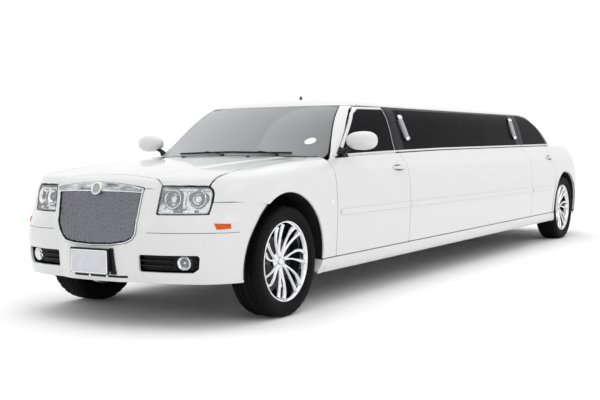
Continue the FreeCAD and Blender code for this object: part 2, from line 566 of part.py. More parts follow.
# perimeter bench of the passenger cabin
bench = fuse(box(-780, 780, 5030, 5520, FLOOR_Z + 30, 560), px([(5380, 560), (5520, 1080), (5400, 1080), (5290, 560)], -760, 760),
             box(-780, -330, 2700, 5030, FLOOR_Z + 30, 560),
             py([(-780, 560), (-780, 1020), (-690, 1020), (-640, 560)], 2700, 5030))
bench = bench.cut(OUT["floor_pan"])
keep("passenger_bench", max(solids(bench), key=lambda s: s.Volume))

# ---------------------------------------------------------------- wheels, profiles turned about the axle
def turned(prof, x, y, z):
    """Profile in (offset along the axle, radius) turned about the axle."""
    f = polyface([V(x + a, y, z + r) for a, r in prof])
    return f.revolve(V(x, y, z), V(1, 0, 0), 360)


def tyre(x, y):
    w, r, b = TYRE_W / 2, TYRE_R, RIM_R - 6
    prof = [(-w + 22, b), (-w + 6, b + 22), (-w, b + 50), (-w + 8, r - 26), (-w + 28, r - 6), (-w + 60, r), (w - 60, r),
            (w - 28, r - 6), (w - 8, r - 26), (w, b + 50), (w - 6, b + 22), (w - 22, b)]
    return turned(prof, x, y, HUB_Z)


def rim(x, y):
    """Barrel, ten paired spokes, hub and brake disc."""
    w, b = TYRE_W / 2 - 22, RIM_R - 6
    barrel = turned([(-w, b), (-w, b - 14), (-w + 20, b - 30), (w - 36, b - 34), (w - 10, b - 16), (w, b - 14), (w + 6, b - 8), (w, b)], x, y, HUB_Z)
    hub = cyl(76, x + 20, x + 62, y, HUB_Z)
    parts = [barrel, hub]
    for k in range(5):
        for off in (-13.0, 13.0):
            sp = px([(y - 11, HUB_Z + 60), (y + 11, HUB_Z + 60), (y + 12, HUB_Z + b - 18), (y - 12, HUB_Z + b - 18)], x + 46, x + 74)
            sp.rotate(V(x, y, HUB_Z), V(1, 0, 0), 72.0 * k + off)
            parts.append(sp)
    r = fuse(*parts)
    r = r.cut(cyl(34, x - 80, x + 30, y, HUB_Z))
    disc = cyl(170, x - 22, x + 4, y, HUB_Z).cut(cyl(34, x - 60, x + 30, y, HUB_Z))
    hat = cyl(80, x + 4, x + 20, y, HUB_Z).cut(cyl(34, x - 60, x + 40, y, HUB_Z))
    return fuse(r, disc, hat)


for tag, yy in (("front", 0.0), ("rear", WHEELBASE)):
    t, r = tyre(TRACK_X, yy), rim(TRACK_X, yy)
    keep(tag + "_tyre_left", t)
    keep(tag + "_tyre_right", mirror(t))
    keep(tag + "_rim_left", r)
    keep(tag + "_rim_right", mirror(r))

# front knuckles: spindle, upright and caliper, turning about the kingpin
kn = fuse(cyl(32, 652, 800, 0, HUB_Z), box(640, 690, -50, 50, 262, 500), Part.makeCylinder(24, 20, V(650, 0, 249), V(0, 0, 1)))
cal = box(690, 820, 120, 196, 320, 440).cut(cyl(176, 768, 812, 0, HUB_Z)).cut(cyl(186, 812, 900, 0, HUB_Z))
kn = fuse(kn, box(650, 700, 40, 190, 340, 420), cal.common(box(690, 800, 100, 200, 300, 460)))
kn = max(solids(kn), key=lambda s: s.Volume)
keep("front_knuckle_left", kn)
keep("front_knuckle_right", mirror(kn))

# ---------------------------------------------------------------- write
for name in sorted(OUT):
    s = OUT[name].copy()
    s.translate(V(0, -Y_MID, 0))
    bad = [x for x in s.Solids if not x.isValid()]
    bb = s.optimalBoundingBox(False, False) if hasattr(s, "optimalBoundingBox") else s.BoundBox
    print("%-22s solids %2d vol %9.1f cm3  x %7.0f %7.0f  y %7.0f %7.0f  z %6.0f %6.0f %s" % (
        name, len(s.Solids), s.Volume / 1000.0, bb.XMin, bb.XMax, bb.YMin, bb.YMax, bb.ZMin, bb.ZMax, "INVALID" if bad else ""))
    if not s.Solids:
        raise SystemExit("no solid in " + name)
    (s.Solids[0] if len(s.Solids) == 1 else s).exportStep("parts/%s.step" % name)
print(len(OUT), "nodes")
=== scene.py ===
import bpy, bmesh, math, random
import numpy as np
from mathutils import Vector, Matrix
from mathutils.geometry import delaunay_2d_cdt


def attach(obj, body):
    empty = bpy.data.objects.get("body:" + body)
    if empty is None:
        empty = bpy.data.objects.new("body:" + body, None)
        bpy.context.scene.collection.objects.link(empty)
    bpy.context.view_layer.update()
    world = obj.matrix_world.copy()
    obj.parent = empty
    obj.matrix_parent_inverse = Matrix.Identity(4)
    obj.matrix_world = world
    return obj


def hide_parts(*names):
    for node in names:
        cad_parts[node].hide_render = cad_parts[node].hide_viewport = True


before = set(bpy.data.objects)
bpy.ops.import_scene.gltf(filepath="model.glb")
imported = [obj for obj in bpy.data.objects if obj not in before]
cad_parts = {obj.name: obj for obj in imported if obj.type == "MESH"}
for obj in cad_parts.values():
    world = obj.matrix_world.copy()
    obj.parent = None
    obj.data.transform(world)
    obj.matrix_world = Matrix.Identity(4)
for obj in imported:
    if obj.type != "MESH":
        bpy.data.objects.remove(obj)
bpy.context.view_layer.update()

OFF = -3.153            # panel sizes below count y from the front axle
WB = 6.096
HUB = 0.368
rng = random.Random(7)


# ------------------------------------------------------------------ curves
def pchip(x, y):
    x, y = np.asarray(x, float), np.asarray(y, float)
    h, d = np.diff(x), np.diff(y) / np.diff(x)
    m = np.zeros_like(y)
    for i in range(1, len(x) - 1):
        if d[i - 1] * d[i] > 0:
            w1, w2 = 2 * h[i] + h[i - 1], h[i] + 2 * h[i - 1]
            m[i] = (w1 + w2) / (w1 / d[i - 1] + w2 / d[i])
    m[0], m[-1] = d[0], d[-1]

    def f(t):
        t = np.asarray(t, float)
        tc = np.clip(t, x[0], x[-1])
        i = np.clip(np.searchsorted(x, tc) - 1, 0, len(h) - 1)
        u = (tc - x[i]) / h[i]
        r = ((1 + 2 * u) * (1 - u) ** 2 * y[i] + u * (1 - u) ** 2 * h[i] * m[i]
             + u * u * (3 - 2 * u) * y[i + 1] + u * u * (u - 1) * h[i] * m[i + 1])
        return r + np.minimum(t - x[0], 0) * m[0] + np.maximum(t - x[-1], 0) * m[-1]
    return f


def smooth(a, n, axis=0, mode="edge"):
    """Gaussian-like blur along one axis, ends held."""
    k = np.exp(-0.5 * (np.arange(-3 * n, 3 * n + 1) / float(n)) ** 2)
    k /= k.sum()
    a = np.moveaxis(a, axis, 0)
    lo = 2 * a[:1] - a[1:3 * n + 1][::-1]
    hi = 2 * a[-1:] - a[-3 * n - 1:-1][::-1]
    p = np.concatenate([lo, a, hi])
    out = sum(k[i] * p[i:i + len(a)] for i in range(len(k)))
    return np.moveaxis(out, 0, axis)


def sstep(t):
    t = np.clip(t, 0, 1)
    return t * t * (3 - 2 * t)


class Grid:
    """Bicubic table over a regular grid."""
    def __init__(self, u0, du, v0, dv, *tabs):
        self.u0, self.du, self.v0, self.dv = u0, du, v0, dv
        self.t = [np.asarray(t, float) for t in tabs]

    def __call__(self, u, v):
        nu, nv = self.t[0].shape
        fu = np.clip((np.asarray(u, float) - self.u0) / self.du, 0, nu - 1.0001)
        fv = np.clip((np.asarray(v, float) - self.v0) / self.dv, 0, nv - 1.0001)
        iu, iv = fu.astype(int), fv.astype(int)
        a, b = fu - iu, fv - iv

        def w(t):
            return [-0.5 * t + t * t - 0.5 * t ** 3, 1 - 2.5 * t * t + 1.5 * t ** 3,
                    0.5 * t + 2 * t * t - 1.5 * t ** 3, -0.5 * t * t + 0.5 * t ** 3]
        wa, wb = w(a), w(b)
        out = []
        for t in self.t:
            s = 0
            for i in range(4):
                ii = np.clip(iu + i - 1, 0, nu - 1)
                for j in range(4):
                    s = s + wa[i] * wb[j] * t[ii, np.clip(iv + j - 1, 0, nv - 1)]
            out.append(s)
        return out


# ------------------------------------------------------------------ body sizes
# columns: z, side x, nose y, nose corner x, y, front side start y, rear side end y, tail corner x, y, tail y
LOWER = np.array([
    (200, 868, -770, 490, -732, -280, 6384, 520, 7050, 7085),
    (258, 908, -836, 530, -790, -290, 6390, 570, 7106, 7144),
    (330, 922, -860, 545, -809, -298, 6395, 590, 7126, 7166),
    (480, 932, -870, 553, -818, -300, 6400, 598, 7134, 7176),
    (600, 938, -870, 555, -818, -300, 6400, 600, 7134, 7176),
    (662, 940, -866, 555, -814, -298, 6400, 600, 7128, 7170),
    (700, 940, -838, 553, -786, -275, 6384, 598, 7100, 7140),
    (860, 930, -804, 545, -752, -250, 6370, 590, 7086, 7124),
    (950, 912, -770, 533, -720, -226, 6360, 580, 7078, 7116),
    (1000, 884, -748, 515, -701, -212, 6350, 560, 7064, 7100),
    (1055, 846, -724, 492, -678, -200, 6336, 534, 7036, 7072),
    (1160, 790, -690, 458, -648, -176, 6312, 504, 6996, 7030),
]) / 1000.0
CABIN = np.array([
    (990, 846, 480, 730, 632, 820, 5960, 700, 6150, 6290),
    (1100, 814, 656, 704, 788, 940, 5860, 664, 6068, 6190),
    (1420, 704, 1130, 622, 1212, 1320, 5330, 590, 5445, 5495),
    (1462, 650, 1215, 572, 1300, 1410, 5210, 530, 5325, 5375),
    (1496, 545, 1335, 465, 1430, 1530, 5030, 430, 5150, 5205),
    (1518, 330, 1600, 270, 1680, 1750, 4760, 250, 4840, 4880),
]) / 1000.0
# columns: y, height at the middle, height at x = 1
TOPS = np.array([
    (-1000, 850, 800), (-860, 886, 832), (-800, 916, 860), (-750, 938, 884), (-700, 955, 904), (-600, 968, 927), (-440, 981, 955),
    (-200, 1002, 988), (0, 1020, 1010), (200, 1036, 1024), (400, 1050, 1030), (640, 1064, 1034), (1600, 1086, 1046), (2700, 1102, 1062),
    (5400, 1124, 1082), (6100, 1130, 1084), (6600, 1130, 1080), (6900, 1126, 1070), (7110, 1112, 1054), (7300, 1080, 1020),
]) / 1000.0
BELT = np.array([(560, 1032), (640, 1038), (1600, 1060), (2700, 1078), (5400, 1098), (6300, 1104)]) / 1000.0


def belt(y):
    return np.interp(y, BELT[:, 0], BELT[:, 1])


SIDE_PROFILE = pchip([0.20, 0.232, 0.26, 0.30, 0.345, 0.45, 0.56, 0.65, 0.76, 0.88, 0.925], [0.866, 0.893, 0.909, 0.918, 0.922, 0.930, 0.936, 0.940, 0.938, 0.929, 0.922])


def side_x(z):
    """Half width of the body side: upright below the shoulder crease, leaning in above it."""
    z = np.asarray(z, float)
    low = np.minimum(z, 0.925)
    k = np.maximum(z - 0.944, -0.08)
    soft = 0.5 * (k + np.sqrt(k * k + 0.016 ** 2))       # rounded corner of the crease
    return SIDE_PROFILE(low) - np.maximum(z - 0.925, 0) * 0.12 - soft * 0.56


def top_z(x, y):
    zc, ze = TOPC(y), TOPE(y)
    z = zc - (zc - ze) * np.asarray(x) ** 2
    # two long soft ridges down the bonnet
    f = sstep((np.asarray(y) + 0.80) / 0.2) * sstep((0.66 - np.asarray(y)) / 0.3)
    xr = 0.33 + 0.20 * sstep((np.asarray(y) + 0.8) / 1.4)
    e = np.abs(x) - xr
    z = z - 0.007 * f * sstep((e + 0.02) / 0.06) + 0.006 * f * np.exp(-(np.asarray(x) / 0.20) ** 2) * 0.5
    return z


_yy = np.arange(-1.0, 7.31, 0.02)
_c = smooth(np.interp(_yy, TOPS[:, 0], TOPS[:, 1]), 4)
_e = smooth(np.interp(_yy, TOPS[:, 0], TOPS[:, 2]), 4)


def TOPC(y):
    return Grid(-1.0, 0.02, 0, 1, np.stack([_c, _c], 1))(y, np.zeros_like(np.asarray(y, float)))[0]


def TOPE(y):
    return Grid(-1.0, 0.02, 0, 1, np.stack([_e, _e], 1))(y, np.zeros_like(np.asarray(y, float)))[0]


DS = 0.005


def plan_line(xs, yt, xa, ya, yb, length, blur=6):
    """Half outline from the middle of the nose round the corner and along the side.  yt, ya, yb grow towards the side."""
    rn = (xa ** 2 + (ya - yt) ** 2) / (2 * (ya - yt))
    t = np.linspace(0, math.asin(min(1, xa / rn)), 60)
    px_, py_ = [rn * np.sin(t)], [yt + rn * (1 - np.cos(t))]
    r = ((xa - xs) ** 2 + (ya - yb) ** 2) / (2 * (xs - xa))
    a = np.linspace(math.atan2(ya - yb, xa - (xs - r)), 0, 60)[1:]
    px_.append(xs - r + r * np.cos(a)); py_.append(yb + r * np.sin(a))
    px_.append(np.full(40, xs)); py_.append(np.linspace(yb, yb + length, 41)[1:])
    X, Y = np.concatenate(px_), np.concatenate(py_)
    s = np.concatenate([[0], np.cumsum(np.hypot(np.diff(X), np.diff(Y)))])
    g = np.arange(0, length, DS)
    X, Y = np.interp(g, s, X), np.interp(g, s, Y)
    n = len(g)
    X2 = smooth(np.concatenate([-X[:0:-1], X]), blur)[n - 1:]
    Y2 = smooth(np.concatenate([Y[:0:-1], Y]), blur)[n - 1:]
    return X2, Y2


def setback(x, z):
    """How far the nose falls back beside the grille."""
    up = sstep((x - 0.360) / 0.085) * (0.050 + 0.004 * sstep((x - 0.45) / 0.3)) * (1 - sstep((x - 0.735) / 0.165))
    low = 0.030 * sstep((x - 0.190) / 0.150) * (1 - sstep((x - 0.58) / 0.27))
    w = sstep((z - 0.54) / 0.13)
    return low * (1 - w) + up * w


def lx(x):
    """Stations across the headlamp."""
    return x - float(np.interp(x, [0.493, 0.779], [0.054, 0.026]))


def wrap_tables(rows, zs, length, front=True, sidefn=None, blurz=3, blur=6):
    cols = [pchip(rows[:, 0], rows[:, i]) for i in range(1, 10)]
    PX, PY = [], []
    for z in zs:
        xs, yf, xa, ya, yb, yc, xd, yd, yr = [float(c(z)) for c in cols]
        if sidefn is not None:
            xs = float(sidefn(z))
        if front:
            X, Y = plan_line(xs, yf, xa, ya, yb, length, blur)
        else:
            X, Y = plan_line(xs, -yr, xd, -yd, -yc, length, blur)
            Y = -Y
        if front and sidefn is not None:
            Y = Y + setback(X, z)
        PX.append(X); PY.append(Y)
    PX, PY = np.array(PX), np.array(PY)
    if blurz:
        PX, PY = smooth(PX, blurz), smooth(PY, blurz)
    return PX, PY


class Wrap:
    """Surface round the nose or tail: u = length round from the middle, v = height."""
    def __init__(self, rows, z0, z1, length, front=True, sidefn=None, dz=0.006, blurz=3, blur=6, out=None):
        self.zs = np.arange(z0, z1 + 1e-6, dz)
        PX, PY = wrap_tables(rows, self.zs, length, front, sidefn, blurz, blur)
        self.g = Grid(z0, dz, 0, DS, PX, PY)
        self.L, self.front, self.extra = length, front, out

    def pos(self, q):
        u, v = q[:, 0], q[:, 1]
        x, y = self.g(v, np.abs(u))
        p = np.stack([x * np.sign(np.where(u == 0, 1, u)), y, v], 1)
        if self.extra is not None:
            p = self.extra(p, q)
        return p

    def s_of_x(self, x, z):
        """Length round at which the half outline reaches x."""
        s = np.arange(0, self.L, DS)
        X, Y = self.g(np.full_like(s, z), s)
        i = int(np.argmax(X))
        return float(np.sign(x) * np.interp(abs(x), X[:i + 1], s[:i + 1]))

    def s_of_y(self, y, z):
        s = np.arange(0, self.L, DS)
        X, Y = self.g(np.full_like(s, z), s)
        if self.front:
            return float(np.interp(y, Y, s))
        return float(np.interp(-y, -Y, s))


def nrm(m, q, e=0.0015):
    du, dv = np.array([e, 0]), np.array([0, e])
    a = m.pos(q + du) - m.pos(q - du)
    b = m.pos(q + dv) - m.pos(q - dv)
    n = np.cross(a, b)
    n /= np.maximum(np.linalg.norm(n, axis=1, keepdims=True), 1e-12)
    return n * m.sign


_zf = np.arange(0.20, 1.1001, 0.006)
_yf = wrap_tables(LOWER, _zf, 0.3, True, side_x)[1][:, 0]
_ys = np.where((_zf > 0.56) & (_zf < 0.88), np.interp(_zf, [0.56, 0.88], [np.interp(0.56, _zf, _yf), np.interp(0.88, _zf, _yf)]), _yf)
_dy = smooth(_ys - _yf, 3)


def grille_flat(p, q):
    """The ledge of the nose fades out towards the grille."""
    w = sstep((0.52 - np.abs(p[:, 0])) / 0.15)
    p = p.copy()
    p[:, 1] += w * np.interp(p[:, 2], _zf, _dy)
    return p


NOSE = Wrap(LOWER, 0.20, 1.10, 1.9, True, side_x, out=grille_flat); NOSE.sign = 1.0
TAIL = Wrap(LOWER, 0.20, 1.16, 1.9, False, side_x); TAIL.sign = -1.0


def xside(y, z):
    """Half width of the lower body at y, z, vectorised."""
    y, z = np.broadcast_arrays(np.asarray(y, float), np.asarray(z, float))
    out = side_x(z)
    for w, sel in ((NOSE, y < 0.25), (TAIL, y > 5.9)):
        if sel.any():
            s = np.arange(0, w.L, DS)
            for zz in np.unique(np.round(z[sel], 4)):
                m = sel & (np.abs(z - zz) < 6e-5)
                X, Y = w.g(np.full_like(s, zz), s)
                out[m] = np.interp(y[m], Y, X) if w.front else np.interp(-y[m], -Y, X)
    return out


ARCH = [(-0.022, 0.374, 0.452), (WB, 0.374, 0.424)]


def flare(y, z, amp=0.008):
    """Raised lip round the wheel openings."""
    o = 0
    for yc, zc, r in ARCH:
        rho = np.hypot(y - yc, z - zc)
        o = o + amp * sstep((r + 0.052 - rho) / 0.022)
    return o


class Side:
    """Body side: u = y, v = z."""
    sign = 1.0

    def pos(self, q):
        y, z = q[:, 0], q[:, 1]
        x = side_x(z) + flare(y, z)
        return np.stack([x, y, z], 1)


SIDE = Side()


class Section:
    """Side, rounded shoulder and top in one surface: u = y, v = length over the section, 0 at the shoulder, minus down the side."""
    def __init__(self, y0, y1, dy, fillet):
        self.ys = np.arange(y0, y1 + 1e-6, dy)
        vs = np.arange(-0.80, 0.90, 0.005)
        zz = np.arange(0.20, 1.16, 0.004)
        FX, FZ = [], []
        for y in self.ys:
            X = xside(np.full_like(zz, y), zz) + flare(y, zz)
            d = top_z(X, np.full_like(X, y)) - zz
            k = int(np.argmax(d < 0))
            t = d[k - 1] / (d[k - 1] - d[k])
            zc = zz[k - 1] + t * 0.004
            xc = X[k - 1] + t * (X[k] - X[k - 1])
            sx = np.append(X[:k], xc); sz = np.append(zz[:k], zc)
            tx = np.linspace(xc, 0, 160); tz = top_z(tx, np.full_like(tx, y))
            r = fillet(y)
            ls = np.concatenate([[0], np.cumsum(np.hypot(np.diff(sx[::-1]), np.diff(sz[::-1])))])
            lt = np.concatenate([[0], np.cumsum(np.hypot(np.diff(tx), np.diff(tz)))])
            a = np.array([np.interp(r, ls, sx[::-1]), np.interp(r, ls, sz[::-1])])
            b = np.array([np.interp(r, lt, tx), np.interp(r, lt, tz)])
            c = np.array([xc, zc])
            tt = np.linspace(0, 1, 24)[:, None]
            bez = (1 - tt) ** 2 * a + 2 * tt * (1 - tt) * c + tt ** 2 * b
            keep_s, keep_t = ls[::-1] > r + 1e-4, lt > r + 1e-4
            P = np.concatenate([np.stack([sx[keep_s], sz[keep_s]], 1), bez, np.stack([tx[keep_t], tz[keep_t]], 1)])
            L = np.concatenate([[0], np.cumsum(np.hypot(*np.diff(P, axis=0).T))])
            mid = L[keep_s.sum() + 12]
            FX.append(np.interp(vs + mid, L, P[:, 0])); FZ.append(np.interp(vs + mid, L, P[:, 1]))
        self.FX, self.FZ = smooth(smooth(np.array(FX), 2, 1), 2), smooth(smooth(np.array(FZ), 2, 1), 2)
        self.g = Grid(y0, dy, vs[0], 0.005, self.FX, self.FZ)
        self.vs = vs
        self.sign = 1.0

    def pos(self, q):
        x, z = self.g(q[:, 0], q[:, 1])
        return np.stack([x, q[:, 0], z], 1)

    def v_of_z(self, y, z):
        X, Z = self.g(np.full_like(self.vs, y), self.vs)
        i = int(np.argmax(Z))
        return float(np.interp(z, Z[:i + 1], self.vs[:i + 1]))

    def v_of_x(self, y, x):
        X, Z = self.g(np.full_like(self.vs, y), self.vs)
        k = np.searchsorted(self.vs, 0.0)
        return float(np.interp(-x, -X[k:], self.vs[k:]))


class Bonnet:
    """Top surface: u = x, v = y."""
    sign = 1.0

    def pos(self, q):
        x, y = q[:, 0], q[:, 1]
        z = top_z(x, y)
        return np.stack([x, y, z], 1)


class Deck:
    """Boot lid: u = x, v = length rearwards over the deck and down the tail."""
    sign = 1.0

    def __init__(self):
        xs = np.arange(0, 0.781, 0.02)
        vs = np.arange(-0.2, 1.6, 0.005)
        FY, FZ = [], []
        for x in xs:
            zz = np.arange(0.66, 1.16, 0.004)[::-1]
            S = np.array([TAIL.s_of_x(x, z) for z in zz])
            YR = TAIL.g(zz, S)[1] + 0.012 * np.exp(-((zz - 1.085) / 0.022) ** 2)
            d = zz - top_z(np.full_like(zz, x), YR)
            k = int(np.argmax(d < 0))
            zc, yc = zz[k], YR[k]
            ty = np.linspace(6.0, yc, 200); tz = top_z(np.full_like(ty, x), ty)
            P1 = np.stack([ty, tz], 1)[::-1]; P2 = np.stack([YR[k:], zz[k:]], 1)
            r = 0.034
            l1 = np.concatenate([[0], np.cumsum(np.hypot(*np.diff(P1, axis=0).T))])
            l2 = np.concatenate([[0], np.cumsum(np.hypot(*np.diff(P2, axis=0).T))])
            a = np.array([np.interp(r, l1, P1[:, 0]), np.interp(r, l1, P1[:, 1])])
            b = np.array([np.interp(r, l2, P2[:, 0]), np.interp(r, l2, P2[:, 1])])
            c = np.array([yc, zc]); tt = np.linspace(0, 1, 16)[:, None]
            bez = (1 - tt) ** 2 * a + 2 * tt * (1 - tt) * c + tt ** 2 * b
            P = np.concatenate([P1[l1 > r][::-1], bez, P2[l2 > r]])
            L = np.concatenate([[0], np.cumsum(np.hypot(*np.diff(P, axis=0).T))])
            o = np.interp(6.226, P[:, 0][:150], L[:150])
            FY.append(np.interp(vs + o, L, P[:, 0])); FZ.append(np.interp(vs + o, L, P[:, 1]))
        FY, FZ = smooth(np.array(FY), 2, 1), smooth(np.array(FZ), 2, 1)
        self.vs = vs
        self.g = Grid(0, 0.02, vs[0], 0.005, FY, FZ)

    def pos(self, q):
        y, z = self.g(np.abs(q[:, 0]), q[:, 1])
        return np.stack([q[:, 0], y, z], 1)

    def v_of_z(self, x, z):
        Y, Z = self.g(np.full_like(self.vs, abs(x)), self.vs)
        k = int(np.searchsorted(self.vs, 0.75))
        return float(np.interp(-z, -Z[k:], self.vs[k:]))

    def v_of_y(self, x, y):
        Y, Z = self.g(np.full_like(self.vs, abs(x)), self.vs)
        k = int(np.argmax(Y))
        return float(np.interp(y, Y[:k], self.vs[:k]))


class Hood:
    """Bonnet and brow: u = x, v = length forwards over the top from y = 0.62 and down the nose."""
    sign = -1.0

    def __init__(self):
        xs = np.arange(0, 0.841, 0.02)
        vs = np.arange(0.0, 2.0, 0.005)
        FY, FZ = [], []
        for x in xs:
            zz = np.arange(0.60, 1.06, 0.004)[::-1]
            S = np.array([NOSE.s_of_x(x, z) for z in zz])
            YN = NOSE.g(zz, S)[1]
            d = zz - top_z(np.full_like(zz, x), YN)
            k = int(np.argmax(d < 0))
            t = d[k - 1] / (d[k - 1] - d[k])
            zc, yc = zz[k - 1] + t * (zz[k] - zz[k - 1]), YN[k - 1] + t * (YN[k] - YN[k - 1])
            ty_ = np.linspace(0.62, yc, 260); tz_ = top_z(np.full_like(ty_, x), ty_)
            P1 = np.stack([ty_, tz_], 1)[::-1]
            P2 = np.concatenate([[[yc, zc]], np.stack([YN[k:], zz[k:]], 1)])
            r = 0.036
            l1 = np.concatenate([[0], np.cumsum(np.hypot(*np.diff(P1, axis=0).T))])
            l2 = np.concatenate([[0], np.cumsum(np.hypot(*np.diff(P2, axis=0).T))])
            a = np.array([np.interp(r, l1, P1[:, 0]), np.interp(r, l1, P1[:, 1])])
            b = np.array([np.interp(r, l2, P2[:, 0]), np.interp(r, l2, P2[:, 1])])
            c = np.array([yc, zc]); tt = np.linspace(0, 1, 16)[:, None]
            bez = (1 - tt) ** 2 * a + 2 * tt * (1 - tt) * c + tt ** 2 * b
            P = np.concatenate([P1[l1 > r][::-1], bez, P2[l2 > r]])
            L = np.concatenate([[0], np.cumsum(np.hypot(*np.diff(P, axis=0).T))])
            FY.append(np.interp(vs, L, P[:, 0])); FZ.append(np.interp(vs, L, P[:, 1]))
        FY, FZ = np.array(FY), np.array(FZ)
        self.vs = vs
        self.g = Grid(0, 0.02, vs[0], 0.005, FY, FZ)

    def pos(self, q):
        y, z = self.g(np.abs(q[:, 0]), q[:, 1])
        return np.stack([q[:, 0], y, z], 1)

    def v_of_z(self, x, z):
        Y, Z = self.g(np.full_like(self.vs, abs(x)), self.vs)
        k = int(np.searchsorted(self.vs, 1.0))
        return float(np.interp(-z, -Z[k:], self.vs[k:]))

    def v_of_y(self, x, y):
        Y, Z = self.g(np.full_like(self.vs, abs(x)), self.vs)
        k = int(np.argmin(Y))
        return float(np.interp(-y, -Y[:k], self.vs[:k]))


# ------------------------------------------------------------------ meshes
def make(name, V, F, mat, body, N=None, slot=None, replaces=(), edge_smooth=True):
    """Mesh object that rides on a body.  N holds one normal per face corner."""
    me = bpy.data.meshes.new(name)
    V = np.asarray(V, float).copy()
    V[:, 1] += OFF
    me.from_pydata(V.tolist(), [], [tuple(int(i) for i in f) for f in F])
    me.validate()
    for p in me.polygons:
        p.use_smooth = edge_smooth
    if N is not None and len(N) == len(me.loops):
        me.normals_split_custom_set([tuple(n) for n in N])
    elif edge_smooth:
        me.set_sharp_from_angle(angle=math.radians(38))
    me.materials.append(mat)
    ob = bpy.data.objects.new(name, me)
    bpy.context.scene.collection.objects.link(ob)
    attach(ob, body)
    if replaces:
        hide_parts(*replaces)
    return ob


def rounded(pts, n=7):
    """Closed outline from corners (u, v) or (u, v, radius)."""
    out = []
    k = len(pts)
    for i in range(k):
        b = np.array(pts[i][:2], float)
        r = pts[i][2] if len(pts[i]) > 2 else 0
        if not r:
            out.append(b); continue
        a, c = np.array(pts[i - 1][:2], float), np.array(pts[(i + 1) % k][:2], float)
        d1, d2 = a - b, c - b
        l1, l2 = np.linalg.norm(d1), np.linalg.norm(d2)
        d1, d2 = d1 / l1, d2 / l2
        ang = math.acos(max(-1, min(1, float(d1 @ d2))))
        t = min(r / math.tan(ang / 2), 0.48 * l1, 0.48 * l2)
        p0, p2 = b + d1 * t, b + d2 * t
        w = math.sin(ang / 2)
        for j in range(n):
            s = j / (n - 1)
            den = (1 - s) ** 2 + 2 * s * (1 - s) * w + s * s
            out.append(((1 - s) ** 2 * p0 + 2 * s * (1 - s) * w * b + s * s * p2) / den)
    return np.array(out)


def resample(p, step):
    out = []
    for i in range(len(p)):
        a, b = p[i], p[(i + 1) % len(p)]
        d = np.linalg.norm(b - a)
        if d < 1e-6:
            continue
        n = max(1, int(math.ceil(d / step)))
        for j in range(n):
            out.append(a + (b - a) * j / n)
    return np.array(out)


def area2(p):
    return 0.5 * float(np.sum(p[:, 0] * np.roll(p[:, 1], -1) - np.roll(p[:, 0], -1) * p[:, 1]))


def inset(p, d):
    """Moves a closed counter-clockwise outline inwards by d, and gives the outward directions."""
    a, b = np.roll(p, 1, 0), np.roll(p, -1, 0)
    e1, e2 = p - a, b - p
    e1 /= np.maximum(np.linalg.norm(e1, axis=1, keepdims=True), 1e-9)
    e2 /= np.maximum(np.linalg.norm(e2, axis=1, keepdims=True), 1e-9)
    n1 = np.stack([e1[:, 1], -e1[:, 0]], 1); n2 = np.stack([e2[:, 1], -e2[:, 0]], 1)
    n = n1 + n2
    n /= np.maximum(np.linalg.norm(n, axis=1, keepdims=True), 1e-9)
    k = np.clip(1.0 / np.maximum((n * n1).sum(1), 0.3), 1, 1.6)
    return p - n * (d * k)[:, None], n


def inside(q, poly):
    x, y = q[:, 0], q[:, 1]
    c = np.zeros(len(q), bool)
    for i in range(len(poly)):
        (x0, y0), (x1, y1) = poly[i], poly[(i + 1) % len(poly)]
        if y0 == y1:
            continue
        m = (y0 > y) != (y1 > y)
        c ^= m & (x < (x1 - x0) * (y - y0) / (y1 - y0) + x0)
    return c


def near(q, poly, d):
    """Points closer than d to the outline."""
    out = np.zeros(len(q), bool)
    for i in range(len(poly)):
        a, b = poly[i], poly[(i + 1) % len(poly)]
        m = (q[:, 0] > min(a[0], b[0]) - d) & (q[:, 0] < max(a[0], b[0]) + d) & (q[:, 1] > min(a[1], b[1]) - d) & (q[:, 1] < max(a[1], b[1]) + d)
        if not m.any():
            continue
        ab = b - a
        t = np.clip(((q[m] - a) @ ab) / max(float(ab @ ab), 1e-12), 0, 1)
        out[m] |= np.linalg.norm(q[m] - (a + t[:, None] * ab), axis=1) < d
    return out


